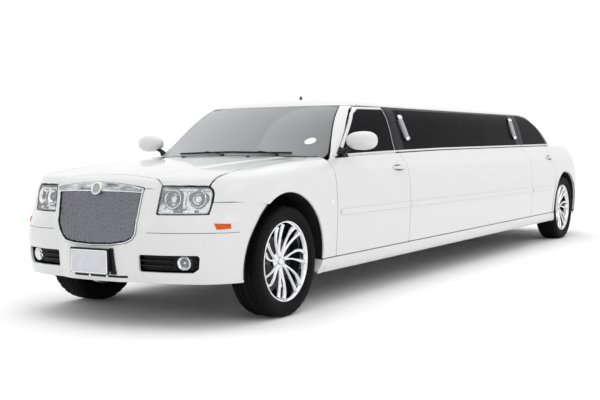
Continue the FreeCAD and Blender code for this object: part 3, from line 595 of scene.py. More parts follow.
def panel_data(m, outer, holes=(), r=0.003, t=0.014, step=0.022, lift=0.0, estep=None):
    """Closed solid: a patch of surface m inside an outline, with rounded edges and thickness t inwards."""
    estep = estep or step * 0.75
    loops = []
    for i, o in enumerate([outer] + list(holes)):
        p = resample(rounded(o), estep)
        if (area2(p) < 0) == (i == 0):
            p = p[::-1]
        loops.append(p)
    insets = []
    for p in loops:
        q, n = inset(p, r)
        insets.append((q, n))
    lo, hi = loops[0].min(0), loops[0].max(0)
    gu = np.arange(lo[0] + step / 2, hi[0], step)
    gv = np.arange(lo[1] + step / 2, hi[1], step)
    G = np.stack(np.meshgrid(gu, gv), -1).reshape(-1, 2)
    G[:, 0] += (np.round((G[:, 1] - lo[1]) / step) % 2) * step * 0.0
    ok = inside(G, insets[0][0])
    for q, _ in insets[1:]:
        ok &= ~inside(G, q)
    for q, _ in insets:
        G2 = G[ok]
        nr = near(G2, q, step * 0.45)
        idx = np.where(ok)[0]
        ok[idx[nr]] = False
    G = G[ok]
    pts = [Vector((float(a), float(b))) for a, b in np.concatenate([q for q, _ in insets] + [G])]
    edges, base = [], 0
    spans = []
    for q, _ in insets:
        k = len(q)
        edges += [(base + i, base + (i + 1) % k) for i in range(k)]
        spans.append((base, k)); base += k
    vo, eo, fo, ov, oe, of_ = delaunay_2d_cdt(pts, edges, [], 1 if len(insets) == 1 else 0, 1e-7)
    Q = np.array([(v.x, v.y) for v in vo])
    tri = np.array([f for f in fo if len(f) == 3])
    cen = Q[tri].mean(1)
    good = inside(cen, insets[0][0])
    for q, _ in insets[1:]:
        good &= ~inside(cen, q)
    a2 = np.abs(np.cross(Q[tri][:, 1] - Q[tri][:, 0], Q[tri][:, 2] - Q[tri][:, 0]))
    good &= a2 > 1e-10
    tri = tri[good]
    back = {}
    for new, olds in enumerate(ov):
        for o in olds:
            back[o] = new
    P = m.pos(Q); N = nrm(m, Q)
    P = P + N * lift
    sgn = 1.0
    f0 = tri[0]
    if np.cross(P[f0[1]] - P[f0[0]], P[f0[2]] - P[f0[0]]) @ N[f0[0]] < 0:
        tri = tri[:, ::-1]; sgn = -1.0
    V = [P]; faces = [list(f) for f in tri]; loopn = [N[i] for f in tri for i in f]
    nb = len(P)
    # back face
    V.append(P - N * t)
    for f in tri:
        faces.append([nb + f[2], nb + f[1], nb + f[0]])
        loopn += [-N[f[2]], -N[f[1]], -N[f[0]]]
    off = 2 * nb
    for (b0, k), (q, dn) in zip(spans, insets):
        ids = np.array([back[b0 + i] for i in range(k)])
        if len(set(ids)) < k:
            keep_ = [i for i in range(k) if ids[i] != ids[i - 1]]
            ids, dn = ids[keep_], dn[keep_]; k = len(ids)
        qq = Q[ids]
        bd = m.pos(qq + dn * 0.001) - m.pos(qq - dn * 0.001)
        nn = N[ids]
        bd -= nn * (bd * nn).sum(1, keepdims=True)
        bd /= np.maximum(np.linalg.norm(bd, axis=1, keepdims=True), 1e-12)
        rings = [ids]; rn = [nn]
        for ph in (30, 60, 90):
            c, s = math.cos(math.radians(ph)), math.sin(math.radians(ph))
            V.append(P[ids] + bd * (r * s) - nn * (r * (1 - c)))
            rings.append(np.arange(off, off + k)); rn.append(nn * c + bd * s); off += k
        V.append(P[ids] + bd * r - nn * t)
        rings.append(np.arange(off, off + k)); rn.append(bd); off += k
        rings.append(ids + nb); rn.append(-nn)
        for j in range(len(rings) - 1):
            A, B = rings[j], rings[j + 1]
            na, nbv = rn[j], rn[j + 1]
            last = j == len(rings) - 2
            for i in range(k):
                i2 = (i + 1) % k
                f = [A[i], B[i], B[i2], A[i2]] if sgn > 0 else [A[i2], B[i2], B[i], A[i]]
                nl = [na[i], nbv[i], nbv[i2], na[i2]] if sgn > 0 else [na[i2], nbv[i2], nbv[i], na[i]]
                if last:
                    nl = [-nn[i]] * 4
                faces.append(f); loopn += nl
    V = np.concatenate(V)
    return V, faces, np.array(loopn)


def flip(d):
    V, F, N = d
    V2 = V * np.array([-1, 1, 1])
    if N is None:
        return V2, [list(f)[::-1] for f in F], None
    F2, N2, k = [], [], 0
    for f in F:
        n = N[k:k + len(f)]; k += len(f)
        F2.append(list(f)[::-1]); N2.extend(n[::-1])
    return V2, F2, np.array(N2) * np.array([-1, 1, 1])


def join(*ds):
    V, F, N, o = [], [], [], 0
    for v, f, n in ds:
        V.append(v); F += [[int(i) + o for i in x] for x in f]; N.append(n); o += len(v)
    return np.concatenate(V), F, (None if any(n is None for n in N) else np.concatenate(N))


def flatn(V, F):
    """Face normals for each face corner."""
    out = []
    V = np.asarray(V)
    for f in F:
        a, b, c = V[f[0]], V[f[1]], V[f[2]]
        n = np.cross(b - a, c - a)
        l = np.linalg.norm(n)
        out += [n / l if l > 0 else n] * len(f)
    return np.array(out)
#PART2


# ------------------------------------------------------------------ materials
def node_mat(name, color, rough, metal=0.0, coat=0.0, noise=0.0, nscale=60.0, bump=0.0, bscale=200.0, rvar=0.05,
             trans=0.0, ior=None, alpha=1.0, dirt=0.0, emit=None, bdist=0.001, stretch=None, spec=None):
    m = bpy.data.materials.new(name)
    m.use_nodes = True
    nt = m.node_tree
    b = nt.nodes["Principled BSDF"]
    b.inputs["Base Color"].default_value = (*color, 1)
    b.inputs["Metallic"].default_value = metal
    b.inputs["Roughness"].default_value = rough
    if coat:
        b.inputs["Coat Weight"].default_value = coat
        b.inputs["Coat Roughness"].default_value = 0.03
    if trans:
        b.inputs["Transmission Weight"].default_value = trans
    if ior:
        b.inputs["IOR"].default_value = ior
    if spec is not None:
        b.inputs["Specular IOR Level"].default_value = spec
    if alpha < 1.0:
        b.inputs["Alpha"].default_value = alpha
    tc = nt.nodes.new("ShaderNodeTexCoord")
    src = tc.outputs["Object"]
    if stretch:
        mp = nt.nodes.new("ShaderNodeMapping")
        mp.inputs["Scale"].default_value = stretch
        nt.links.new(src, mp.inputs["Vector"]); src = mp.outputs["Vector"]
    n1 = nt.nodes.new("ShaderNodeTexNoise")
    n1.inputs["Scale"].default_value = nscale
    n1.inputs["Detail"].default_value = 4
    nt.links.new(src, n1.inputs["Vector"])
    if noise or dirt:
        r = nt.nodes.new("ShaderNodeValToRGB")
        k = noise
        r.color_ramp.elements[0].position = 0.3
        r.color_ramp.elements[1].position = 0.7
        r.color_ramp.elements[0].color = (*[max(0, c * (1 - k)) for c in color], 1)
        r.color_ramp.elements[1].color = (*[min(1, c * (1 + k)) for c in color], 1)
        nt.links.new(n1.outputs["Fac"], r.inputs["Fac"])
        nt.links.new(r.outputs["Color"], b.inputs["Base Color"])
    if rvar:
        mr = nt.nodes.new("ShaderNodeMapRange")
        mr.inputs["From Min"].default_value = 0.3
        mr.inputs["From Max"].default_value = 0.7
        mr.inputs["To Min"].default_value = max(0.0, rough - rvar)
        mr.inputs["To Max"].default_value = min(1.0, rough + rvar)
        nt.links.new(n1.outputs["Fac"], mr.inputs["Value"])
        nt.links.new(mr.outputs["Result"], b.inputs["Roughness"])
    if bump:
        n2 = nt.nodes.new("ShaderNodeTexNoise")
        n2.inputs["Scale"].default_value = bscale
        n2.inputs["Detail"].default_value = 3
        nt.links.new(src, n2.inputs["Vector"])
        bp = nt.nodes.new("ShaderNodeBump")
        bp.inputs["Strength"].default_value = bump
        bp.inputs["Distance"].default_value = bdist
        nt.links.new(n2.outputs["Fac"], bp.inputs["Height"])
        nt.links.new(bp.outputs["Normal"], b.inputs["Normal"])
    if emit:
        b.inputs["Emission Color"].default_value = (*emit[:3], 1)
        b.inputs["Emission Strength"].default_value = emit[3]
    return m


PAINT = node_mat("white_lacquer", (0.625, 0.627, 0.625), 0.34, coat=0.8, noise=0.010, nscale=7.0, bump=0.03, bscale=26.0, rvar=0.03, bdist=0.0003)
CHROME = node_mat("chrome", (0.80, 0.81, 0.83), 0.06, metal=1.0, noise=0.04, nscale=30.0, rvar=0.03, bump=0.02, bscale=60.0, bdist=0.0005)
WHEELCHROME = node_mat("wheel_chrome", (0.78, 0.78, 0.80), 0.07, metal=1.0, noise=0.06, nscale=45.0, rvar=0.05, bump=0.03, bscale=90.0, bdist=0.0005)
RUBBER = node_mat("tyre_rubber", (0.0055, 0.0055, 0.006), 0.62, spec=0.07, noise=0.25, nscale=40.0, rvar=0.10, bump=0.25, bscale=700.0, bdist=0.0006)
SEAL = node_mat("seal_rubber", (0.008, 0.008, 0.008), 0.45, spec=0.15, noise=0.2, nscale=80.0, rvar=0.08, bump=0.1, bscale=600.0)
BLACKGLOSS = node_mat("black_gloss", (0.016, 0.016, 0.018), 0.16, spec=0.05, noise=0.15, nscale=30.0, rvar=0.04, bump=0.01, bscale=500.0)
PLASTIC = node_mat("black_plastic", (0.009, 0.009, 0.010), 0.45, spec=0.16, noise=0.15, nscale=60.0, rvar=0.08, bump=0.18, bscale=1400.0, bdist=0.0005)
DARKGLASS = node_mat("dark_glass", (0.010, 0.010, 0.011), 0.03, coat=0.0, noise=0.10, nscale=3.0, rvar=0.015, bump=0.0, spec=0.008)
SCREEN = node_mat("screen_glass", (0.40, 0.41, 0.42), 0.04, trans=0.45, ior=1.45, noise=0.05, nscale=1.2, rvar=0.008, spec=0.7)


def painted_shade_band(m, span, lo, hi, axis, extra=0.0):
    """Painted light and shade: the glass colour is scaled along one axis of the pane, lighter at one end and darker at
    the other.
    """
    nt = m.node_tree
    b = nt.nodes["Principled BSDF"]
    sep = nt.nodes.new("ShaderNodeSeparateXYZ")
    nt.links.new([n for n in nt.nodes if n.type == "TEX_COORD"][0].outputs["Object"], sep.inputs[0])
    mr = nt.nodes.new("ShaderNodeMapRange")
    mr.inputs["From Min"].default_value, mr.inputs["From Max"].default_value = span
    mr.inputs["To Min"].default_value, mr.inputs["To Max"].default_value = lo, hi
    nt.links.new(sep.outputs[axis], mr.inputs["Value"])
    old = b.inputs["Base Color"].links[0].from_socket
    mul = nt.nodes.new("ShaderNodeVectorMath")
    mul.operation = "SCALE"
    nt.links.new(old, mul.inputs[0])
    nt.links.new(mr.outputs["Result"], mul.inputs["Scale"])
    nt.links.new(mul.outputs["Vector"], b.inputs["Base Color"])


# Painted light and shade: the windscreen colour is made lighter towards -x and darker towards +x, standing in for the
# shade and reflection along the near pillar.
painted_shade_band(SCREEN, (-0.75, 0.78), 1.55, 0.62, "X")
LENS = node_mat("clear_lens", (0.90, 0.91, 0.93), 0.03, alpha=0.11, noise=0.03, nscale=12.0, rvar=0.015, bump=0.03, bscale=40.0)
REDLENS = node_mat("red_lens", (0.42, 0.010, 0.012), 0.08, coat=0.8, noise=0.12, nscale=25.0, rvar=0.03, bump=0.05, bscale=350.0)
AMBER = node_mat("amber_lens", (0.56, 0.085, 0.005), 0.16, spec=0.25, noise=0.12, nscale=60.0, rvar=0.03, bump=0.08, bscale=400.0)
UNDER = node_mat("underbody", (0.012, 0.012, 0.012), 0.7, spec=0.15, noise=0.35, nscale=14.0, rvar=0.12, bump=0.3, bscale=160.0, bdist=0.002)
IRON = node_mat("cast_iron", (0.05, 0.05, 0.052), 0.6, metal=0.7, noise=0.25, nscale=35.0, rvar=0.1, bump=0.35, bscale=220.0, bdist=0.001)
STEEL = node_mat("exhaust_steel", (0.36, 0.35, 0.34), 0.38, metal=1.0, noise=0.18, nscale=12.0, rvar=0.1, bump=0.1, bscale=120.0)
DISC = node_mat("brake_disc", (0.10, 0.10, 0.105), 0.42, metal=1.0, noise=0.08, nscale=50.0, rvar=0.08, bump=0.1, bscale=400.0)
TRIM = node_mat("cabin_trim", (0.055, 0.053, 0.050), 0.65, noise=0.15, nscale=20.0, rvar=0.08, bump=0.3, bscale=900.0, bdist=0.0006)
LEATHER = node_mat("seat_leather", (0.060, 0.056, 0.052), 0.45, noise=0.18, nscale=25.0, rvar=0.1, bump=0.35, bscale=420.0, bdist=0.0012)
PLATE = node_mat("plate_blank", (0.56, 0.57, 0.60), 0.35, noise=0.05, nscale=25.0, rvar=0.05, bump=0.05, bscale=150.0)
LAMPBOWL = node_mat("lamp_bowl", (0.86, 0.87, 0.89), 0.14, metal=0.85, noise=0.04, nscale=40.0, rvar=0.04, bump=0.06, bscale=60.0)
LAMPGREY = node_mat("lamp_bezel", (0.30, 0.31, 0.32), 0.30, metal=0.6, noise=0.08, nscale=40.0, rvar=0.06, bump=0.05, bscale=300.0)

G = 0.003      # half a shut line
SILL_TOP = 0.338


def arch_pts(i, z0, z1, front_side, n=26, grow=0.0):
    """Points on a wheel opening, from height z0 over the top to z1."""
    yc, zc, r = ARCH[i]
    r += grow
    a0 = math.asin(max(-1, min(1, (z0 - zc) / r)))
    a1 = math.asin(max(-1, min(1, (z1 - zc) / r)))
    A = np.linspace(a0, math.pi - a1, n) if front_side == "rear_to_front" else np.linspace(math.pi - a0, a1, n)
    return [(yc + r * math.cos(a), zc + r * math.sin(a)) for a in A]


def place(name, datas, mat, body, slot, replaces=(), **kw):
    d = join(*datas) if len(datas) > 1 else datas[0]
    return make(name, d[0], d[1], mat, body, d[2], slot, replaces, **kw)


# ------------------------------------------------------------------ doors, sides and sills
YF0, YF1, YR0, YR1 = 0.622, 1.824, 4.884, 5.716
fd_out = [(YF0 + G, SILL_TOP + G, 0.018), (YF1 - G, SILL_TOP + G, 0.018), (YF1 - G, belt(YF1) - 0.001, 0.006), (1.2, belt(1.2) - 0.001),
          (YF0 + G + 0.02, belt(YF0) - 0.002, 0.010), (YF0 + G, 0.99, 0.010)]
centre_out = [(YF1 + G, SILL_TOP + G, 0.006), (YR0 - G, SILL_TOP + G, 0.006), (YR0 - G, belt(YR0) - 0.001, 0.005), (2.7, belt(2.7) - 0.001),
              (YF1 + G, belt(YF1) - 0.001, 0.005)]
ap = [p for p in arch_pts(1, SILL_TOP + G, 0.80, "front_to_rear", 40, 0.046) if p[0] < YR1 - G]
rd_out = [(YR0 + G, SILL_TOP + G, 0.018)] + [(ap[0][0], SILL_TOP + G, 0.010)] + ap[1:] + [(YR1 - G, ap[-1][1] + 0.03, 0.01),
          (YR1 - G, belt(YR1) - 0.001, 0.006), (YR0 + G, belt(YR0) - 0.001, 0.006)]
T_DOOR = 0.030
fd = panel_data(SIDE, fd_out, t=T_DOOR)
ce = panel_data(SIDE, centre_out, t=T_DOOR, step=0.03)
rd = panel_data(SIDE, rd_out, t=T_DOOR)


def inner_panel(out, t0=0.032, t1=0.125, y_in=0.02, rake=True):
    """Trimmed inner half of a door, set back from the outer skin."""
    pts = [(p[0], p[1]) for p in out]
    p = resample(rounded(pts), 0.06)
    if area2(p) < 0:
        p = p[::-1]
    q, _ = inset(p, y_in)
    return panel_data(SIDE, [tuple(a) for a in q], r=0.008, t=t1 - t0, step=0.06, lift=-t0)


for side, fn in (("left", lambda d: d), ("right", flip)):
    place("front_door_skin_" + side, [fn(fd)], PAINT, "door_front_" + side, "white_paint", ("front_door_" + side,))
    place("rear_door_skin_" + side, [fn(rd)], PAINT, "door_rear_" + side, "white_paint", ("rear_door_" + side,))
fd_in, rd_in = inner_panel(fd_out), inner_panel(rd_out)
for side, fn in (("left", lambda d: d), ("right", flip)):
    place("front_door_card_" + side, [fn(fd_in)], TRIM, "door_front_" + side, "dark_trim")
    place("rear_door_card_" + side, [fn(rd_in)], TRIM, "door_rear_" + side, "dark_trim")
place("centre_side_skins", [ce, flip(ce)], PAINT, "body_shell", "white_paint", ("centre_side_panels",))
ce_in = inner_panel(centre_out)
place("centre_side_linings", [ce_in, flip(ce_in)], TRIM, "body_shell", "dark_trim")

sf = arch_pts(0, 0.20, 0.30, "rear_to_front", 3)
sill_out = [(math.sqrt(0.452 ** 2 - (SILL_TOP - 0.374) ** 2) - 0.022 + 0.002, SILL_TOP - G, 0.004), (0.40, 0.28), (0.370, 0.236, 0.02),
            (5.742, 0.236, 0.02), (5.705, 0.28), (WB - math.sqrt(0.424 ** 2 - (SILL_TOP - 0.374) ** 2) - 0.002, SILL_TOP - G, 0.004)]
sill = panel_data(SIDE, sill_out, t=0.11, step=0.03, r=0.006)
place("sill_skins", [sill, flip(sill)], PAINT, "body_shell", "white_paint", ("sills",))

# ------------------------------------------------------------------ front fenders
FEN = Section(-0.70, 0.90, 0.02, lambda y: 0.075)


def sv(m, *pts):
    """Corner list for a Section: ('z', y, z, r) on the side or ('x', y, x, r) on top."""
    out = []
    for k, y, a, *r in pts:
        out.append((y, m.v_of_z(y, a) if k == "z" else m.v_of_x(y, a), *r))
    return out


def nose_y(x, z):
    return float(NOSE.g(np.array([z]), np.array([abs(NOSE.s_of_x(x, z))]))[1][0])


SEAM = [(-0.327, 0.758), (-0.516, 0.783)]          # fender over bumper cover
arch_f = [("z", y, z) for y, z in arch_pts(0, SILL_TOP + G, 0.762, "rear_to_front", 34)]
fen_pts = [("z", YF0 - G, SILL_TOP + G, 0.006), ("z", YF0 - G, 0.70), ("z", YF0 - G, 1.00), ("x", YF0 - G, 0.80), ("x", YF0 - G, 0.722, 0.006),
           ("x", 0.30, 0.696), ("x", 0.10, 0.696), ("x", -0.15, 0.706), ("x", -0.40, 0.733), ("x", -0.545, 0.748), ("z", nose_y(0.7400, 0.905), 0.905, 0.004),
           ("z", nose_y(0.7335, 0.884), 0.884, 0.003), ("z", nose_y(0.7500, 0.866), 0.866), ("z", nose_y(0.7590, 0.838), 0.838, 0.01), ("z", nose_y(0.7580, 0.80), 0.80), ("z", nose_y(0.7580, 0.787), 0.787, 0.002),
           ("z", -0.516, 0.787)] + arch_f[::-1]
fen = panel_data(FEN, sv(FEN, *fen_pts), t=0.012, step=0.016)
place("front_fender_skins", [fen, flip(fen)], PAINT, "body_shell", "white_paint", ("front_fenders",))

# ------------------------------------------------------------------ front bumper cover
def nz(x, z, r=0.0):
    return (NOSE.s_of_x(x, z), z, r)


def ny(y, z, r=0.0, m=None):
    return ((m or NOSE).s_of_y(y, z), z, r)


def half_to_full(pts):
    """Right half outline from the bottom middle to the top middle, mirrored."""
    return list(pts) + [(-p[0], *p[1:]) for p in pts[::-1] if abs(p[0]) > 1e-6]


af = arch_pts(0, 0.285, 0.754, "front_to_rear", 30)
af = [p for p in af if p[0] < -0.022]
GR = [(0.0, 0.512), (0.150, 0.517), (0.258, 0.533), (0.300, 0.556), (0.327, 0.592), (0.339, 0.640), (0.346, 0.730), (0.358, 0.845), (0.364, 0.872)]
FOG = [(0.340, 0.360), (0.340, 0.466), (0.719, 0.466), (0.729, 0.452), (0.721, 0.384), (0.688, 0.358)]
fog_hole = [nz(x, z, 0.012) for x, z in FOG]
fog_hole2 = [(-a, b, c) for a, b, c in fog_hole]
low_hole = [nz(x, z, 0.008) for x, z in ((0.155, 0.355), (0.155, 0.480), (-0.155, 0.480), (-0.155, 0.355))]
LAMP = [(lx(x), z) for x, z in ((0.503, 0.886), (0.620, 0.8845), (0.752, 0.880), (0.772, 0.864), (0.779, 0.838), (0.777, 0.775), (0.768, 0.714), (0.490, 0.714))]


def lathe(prof, n=64, axis="x", at=(0, 0, 0)):
    """Turned solid.  prof: closed loop of (radius, station), or an open one that starts and ends at radius 0."""
    V, F, rings = [], [], []
    for r, a in prof:
        if r < 1e-6:
            rings.append([len(V)]); V.append((a, 0, 0)); continue
        rings.append(list(range(len(V), len(V) + n)))
        for i in range(n):
            t = 2 * math.pi * i / n
            V.append((a, r * math.cos(t), r * math.sin(t)))
    loop = len(rings[0]) > 1 or len(rings[-1]) > 1
    pairs = list(zip(rings, rings[1:])) + ([(rings[-1], rings[0])] if loop else [])
    for A, B in pairs:
        for i in range(n):
            j = (i + 1) % n
            f = [A[i % len(A)], A[j % len(A)], B[j % len(B)], B[i % len(B)]]
            g = []
            for k in f:
                if k not in g:
                    g.append(k)
            if len(g) > 2:
                F.append(g)
    V = np.array(V)
    perm = {"x": (0, 1, 2), "y": (2, 0, 1), "z": (1, 2, 0)}[axis]
    V = V[:, perm]
    if volume(V, F) < 0:
        F = [f[::-1] for f in F]
    return V + np.array(at), F, None


def volume(V, F):
    s = 0.0
    c = V.mean(0)
    for f in F:
        p = V[f] - c
        for i in range(1, len(f) - 1):
            s += float(np.dot(p[0], np.cross(p[i], p[i + 1])))
    return s / 6


def tube(path, r, n=8, squash=1.0, closed=False, up=(0, 0, 1)):
    """Round or oval bar along a path; r may be one value or one per point."""
    P = np.array(path, float)
    m = len(P)
    R = np.full(m, r) if np.isscalar(r) else np.array(r, float)
    T = (np.roll(P, -1, 0) - np.roll(P, 1, 0)) if closed else np.gradient(P, axis=0)
    T /= np.linalg.norm(T, axis=1, keepdims=True)
    V, F = [], []
    u = np.array(up, float)
    for i in range(m):
        a = np.cross(T[i], u)
        if np.linalg.norm(a) < 1e-3:
            a = np.cross(T[i], [1, 0.01, 0])
        a /= np.linalg.norm(a)
        b = np.cross(a, T[i])
        for k in range(n):
            t = 2 * math.pi * (k + 0.5) / n
            V.append(P[i] + R[i] * (a * math.cos(t) + squash * b * math.sin(t)))
    rng = m if closed else m - 1
    for i in range(rng):
        for k in range(n):
            k2 = (k + 1) % n
            i2 = (i + 1) % m
            F.append([i * n + k, i * n + k2, i2 * n + k2, i2 * n + k])
    if not closed:
        F.append(list(range(n))[::-1]); F.append([(m - 1) * n + k for k in range(n)])
    V = np.array(V)
    if volume(V, F) < 0:
        F = [f[::-1] for f in F]
    return V, F, None


def rbox(lo, hi, r=0.006, seg=3):
    """Box with rounded edges."""
    bm = bmesh.new()
    bmesh.ops.create_cube(bm, size=1.0)
    lo, hi = np.array(lo, float), np.array(hi, float)
    for v in bm.verts:
        v.co = Vector((lo + (hi - lo) * (np.array(v.co) + 0.5)).tolist())
    bmesh.ops.bevel(bm, geom=list(bm.edges), offset=min(r, 0.45 * float((hi - lo).min())), segments=seg, profile=0.5, affect="EDGES")
    bm.verts.index_update()
    V = np.array([v.co[:] for v in bm.verts]); F = [[v.index for v in f.verts] for f in bm.faces]
    bm.free()
    return V, F, None


def grid_solid(P, t, closed=False):
    """Shell of thickness t under a grid of points; t is measured against the outward normal."""
    P = np.asarray(P, float)
    a = np.gradient(P, axis=0)
    b = (np.roll(P, -1, 1) - np.roll(P, 1, 1)) if closed else np.gradient(P, axis=1)
    N = np.cross(a, b)
    N /= np.maximum(np.linalg.norm(N, axis=2, keepdims=True), 1e-12)
    n, m = P.shape[:2]
    V = np.concatenate([P.reshape(-1, 3), (P - N * t).reshape(-1, 3)])
    F = []
    o = n * m
    mm = m if closed else m - 1
    for i in range(n - 1):
        for j in range(mm):
            k = (j + 1) % m
            F.append([i * m + j, (i + 1) * m + j, (i + 1) * m + k, i * m + k])
            F.append([o + i * m + j, o + i * m + k, o + (i + 1) * m + k, o + (i + 1) * m + j])
    for i, s in ((0, 1), (n - 1, -1)):
        for j in range(mm):
            k = (j + 1) % m
            f = [i * m + j, i * m + k, o + i * m + k, o + i * m + j]
            F.append(f if s > 0 else f[::-1])
    if not closed:
        for j, s in ((0, -1), (m - 1, 1)):
            for i in range(n - 1):
                f = [i * m + j, (i + 1) * m + j, o + (i + 1) * m + j, o + i * m + j]
                F.append(f if s < 0 and False else (f if s > 0 else f[::-1]))
    return V, F, None


def orient(d):
    V, F, N = d
    me = bpy.data.meshes.new("tmp")
    me.from_pydata([tuple(v) for v in V], [], F)
    bm = bmesh.new(); bm.from_mesh(me)
    bmesh.ops.recalc_face_normals(bm, faces=bm.faces[:])
    bm.verts.index_update()
    F2 = [[v.index for v in f.verts] for f in bm.faces]
    V2 = np.array([v.co[:] for v in bm.verts])
    bm.free(); bpy.data.meshes.remove(me)
    if volume(V2, F2) < 0:
        F2 = [f[::-1] for f in F2]
    return V2, F2, None


def prow(x):
    """Point where the front face meets the top at x."""
    z = np.arange(0.80, 1.0, 0.002)
    y = np.array([float(NOSE.g(np.array([q]), np.array([abs(NOSE.s_of_x(x, q))]))[1][0]) for q in z])
    d = z - top_z(np.full_like(z, x), y)
    k = int(np.argmax(d >= 0))
    t = d[k - 1] / (d[k - 1] - d[k])
    return float(y[k - 1] + t * (y[k] - y[k - 1])), float(z[k - 1] + t * 0.002)


# ------------------------------------------------------------------ wheel opening returns
def arch_return(i, z0, x_in, grow=0.0015, x_gap=0.0045, t=0.006):
    """Band from the edge of the wheel opening inwards to the liner."""
    yc, zc, r = ARCH[i]
    r += grow
    a0 = math.asin((z0 - zc) / r)
    A = np.linspace(a0, math.pi - a0, 64)
    ys, zs_ = yc + r * np.cos(A), zc + r * np.sin(A)
    xo = np.array([float(xside(np.array([y]), np.array([z]))[0] + flare(np.array([y]), np.array([z]))[0]) for y, z in zip(ys, zs_)]) - x_gap
    P = np.zeros((len(A), 7, 3))
    for j, w in enumerate(np.linspace(0, 1, 7)):
        P[:, j, 0] = xo * (1 - w) + x_in * w
        P[:, j, 1] = ys
        P[:, j, 2] = zs_
    Q = P.copy()
    Q[:, :, 1] += (np.cos(A) * t)[:, None]; Q[:, :, 2] += (np.sin(A) * t)[:, None]
    n, m = P.shape[:2]
    V = np.concatenate([P.reshape(-1, 3), Q.reshape(-1, 3)]); o = n * m
    F = []
    for a in range(n - 1):
        for b in range(m - 1):
            F.append([a * m + b, a * m + b + 1, (a + 1) * m + b + 1, (a + 1) * m + b])
            F.append([o + a * m + b, o + (a + 1) * m + b, o + (a + 1) * m + b + 1, o + a * m + b + 1])
    for a in range(n - 1):
        for b in (0, m - 1):
            f = [a * m + b, (a + 1) * m + b, o + (a + 1) * m + b, o + a * m + b]
            F.append(f if b == 0 else f[::-1])
    for b in range(m - 1):
        for a in (0, n - 1):
            f = [a * m + b, o + a * m + b, o + a * m + b + 1, a * m + b + 1]
            F.append(f if a == 0 else f[::-1])
    return orient((V, F, None))


ar0, ar1 = arch_return(0, 0.300, 0.788), arch_return(1, 0.300, 0.788)
place("wheel_opening_returns", [ar0, flip(ar0), ar1, flip(ar1)], UNDER, "body_shell", "underbody_black")

# ------------------------------------------------------------------ bonnet, front bumper cover
PX = [0.0, 0.15, 0.30, 0.40, 0.455, 0.492, 0.54, 0.60, 0.66, 0.70, 0.735, 0.765]
PR = {x: prow(x) for x in PX}
BON = Bonnet()
HOOD = Hood()


def hv(x, y=None, z=None, r=0.0):
    return (x, HOOD.v_of_y(x, y) if y is not None else HOOD.v_of_z(x, z), r)


hood_half = [hv(0.0, 0.505), hv(0.40, 0.520), hv(0.716, 0.560, r=0.012), hv(0.690, 0.30), hv(0.690, 0.10), hv(0.700, -0.15), hv(0.727, -0.40),
             hv(0.742, -0.545), hv(0.7315, z=0.9005, r=0.004), hv(0.726, z=0.8875, r=0.003), hv(0.67, z=0.8895), hv(0.57, z=0.8905), hv(0.452, z=0.8905, r=0.003),
             hv(0.440, z=0.905), hv(0.414, -0.730 + setback(0.410, 0.9), r=0.02), hv(0.376, -0.712 + setback(0.376, 0.9), r=0.04), hv(0.25, -0.686), hv(0.12, -0.668), hv(0.0, -0.662)]
bonnet = panel_data(HOOD, half_to_full(hood_half), t=0.018, step=0.022, r=0.0035)
place("bonnet_skin", [bonnet], PAINT, "bonnet_panel", "white_paint", ("bonnet",))

cover_half = [(0.0, 0.290)] + [nz(0.35, 0.290), nz(0.62, 0.288)] + [ny(af[0][0] - 0.012, 0.283, 0.008)] + [ny(y, z) for y, z in af if z < 0.75]
cover_half += [ny(-0.022 - math.sqrt(0.452 ** 2 - 0.381 ** 2) - 0.003, 0.7590, 0.002), ny(-0.40, 0.7722), ny(-0.516, 0.7838), nz(0.7580, 0.7845, 0.002), nz(0.7455, 0.711, 0.004), nz(0.431, 0.710, 0.012),
               nz(0.4365, 0.78), nz(0.4435, 0.8705, 0.002), nz(0.40, 0.8705), nz(0.3655, 0.8705, 0.001)] + [nz(x, z) for x, z in GR[::-1][1:]]
cover = panel_data(NOSE, half_to_full(cover_half), [low_hole, fog_hole, fog_hole2], t=0.016, step=0.018, r=0.003)
brow_half = [hv(0.0, z=0.9145), hv(0.12, z=0.9085), hv(0.26, z=0.8955), hv(0.364, z=0.8785, r=0.003), hv(0.3655, z=0.8712, r=0.001), hv(0.40, z=0.8712),
             hv(0.4435, z=0.8712, r=0.001), hv(0.4450, z=0.892), hv(0.436, z=0.905), hv(0.411, -0.7365 + setback(0.407, 0.9), r=0.02), hv(0.374, -0.7185 + setback(0.374, 0.9), r=0.04), hv(0.25, -0.6925), hv(0.12, -0.6745), hv(0.0, -0.6685)]
brow = panel_data(HOOD, half_to_full(brow_half), t=0.014, step=0.016, r=0.0012)
place("front_bumper_skin", [cover, brow], PAINT, "body_shell", "white_paint", ("front_bumper",))

# ------------------------------------------------------------------ rear quarters, boot lid, rear bumper
QRT = Section(5.36, 7.06, 0.02, lambda y: 0.012 + 0.036 * float(sstep((y - 5.9) / 0.5)))
zc5, rr = 0.374, 0.464
dog = [(WB - rr * math.cos(a), zc5 + rr * math.sin(a)) for a in np.linspace(math.asin((0.341 - zc5) / rr), math.acos((WB - 5.719) / rr), 12)]
arch_r = arch_pts(1, 0.341, 0.671, "front_to_rear", 44)
arch_r = [(y, z) for y, z in arch_r]


def tail_xy(x, z):
    s = abs(TAIL.s_of_x(x, z))
    return float(TAIL.g(np.array([z]), np.array([s]))[1][0])


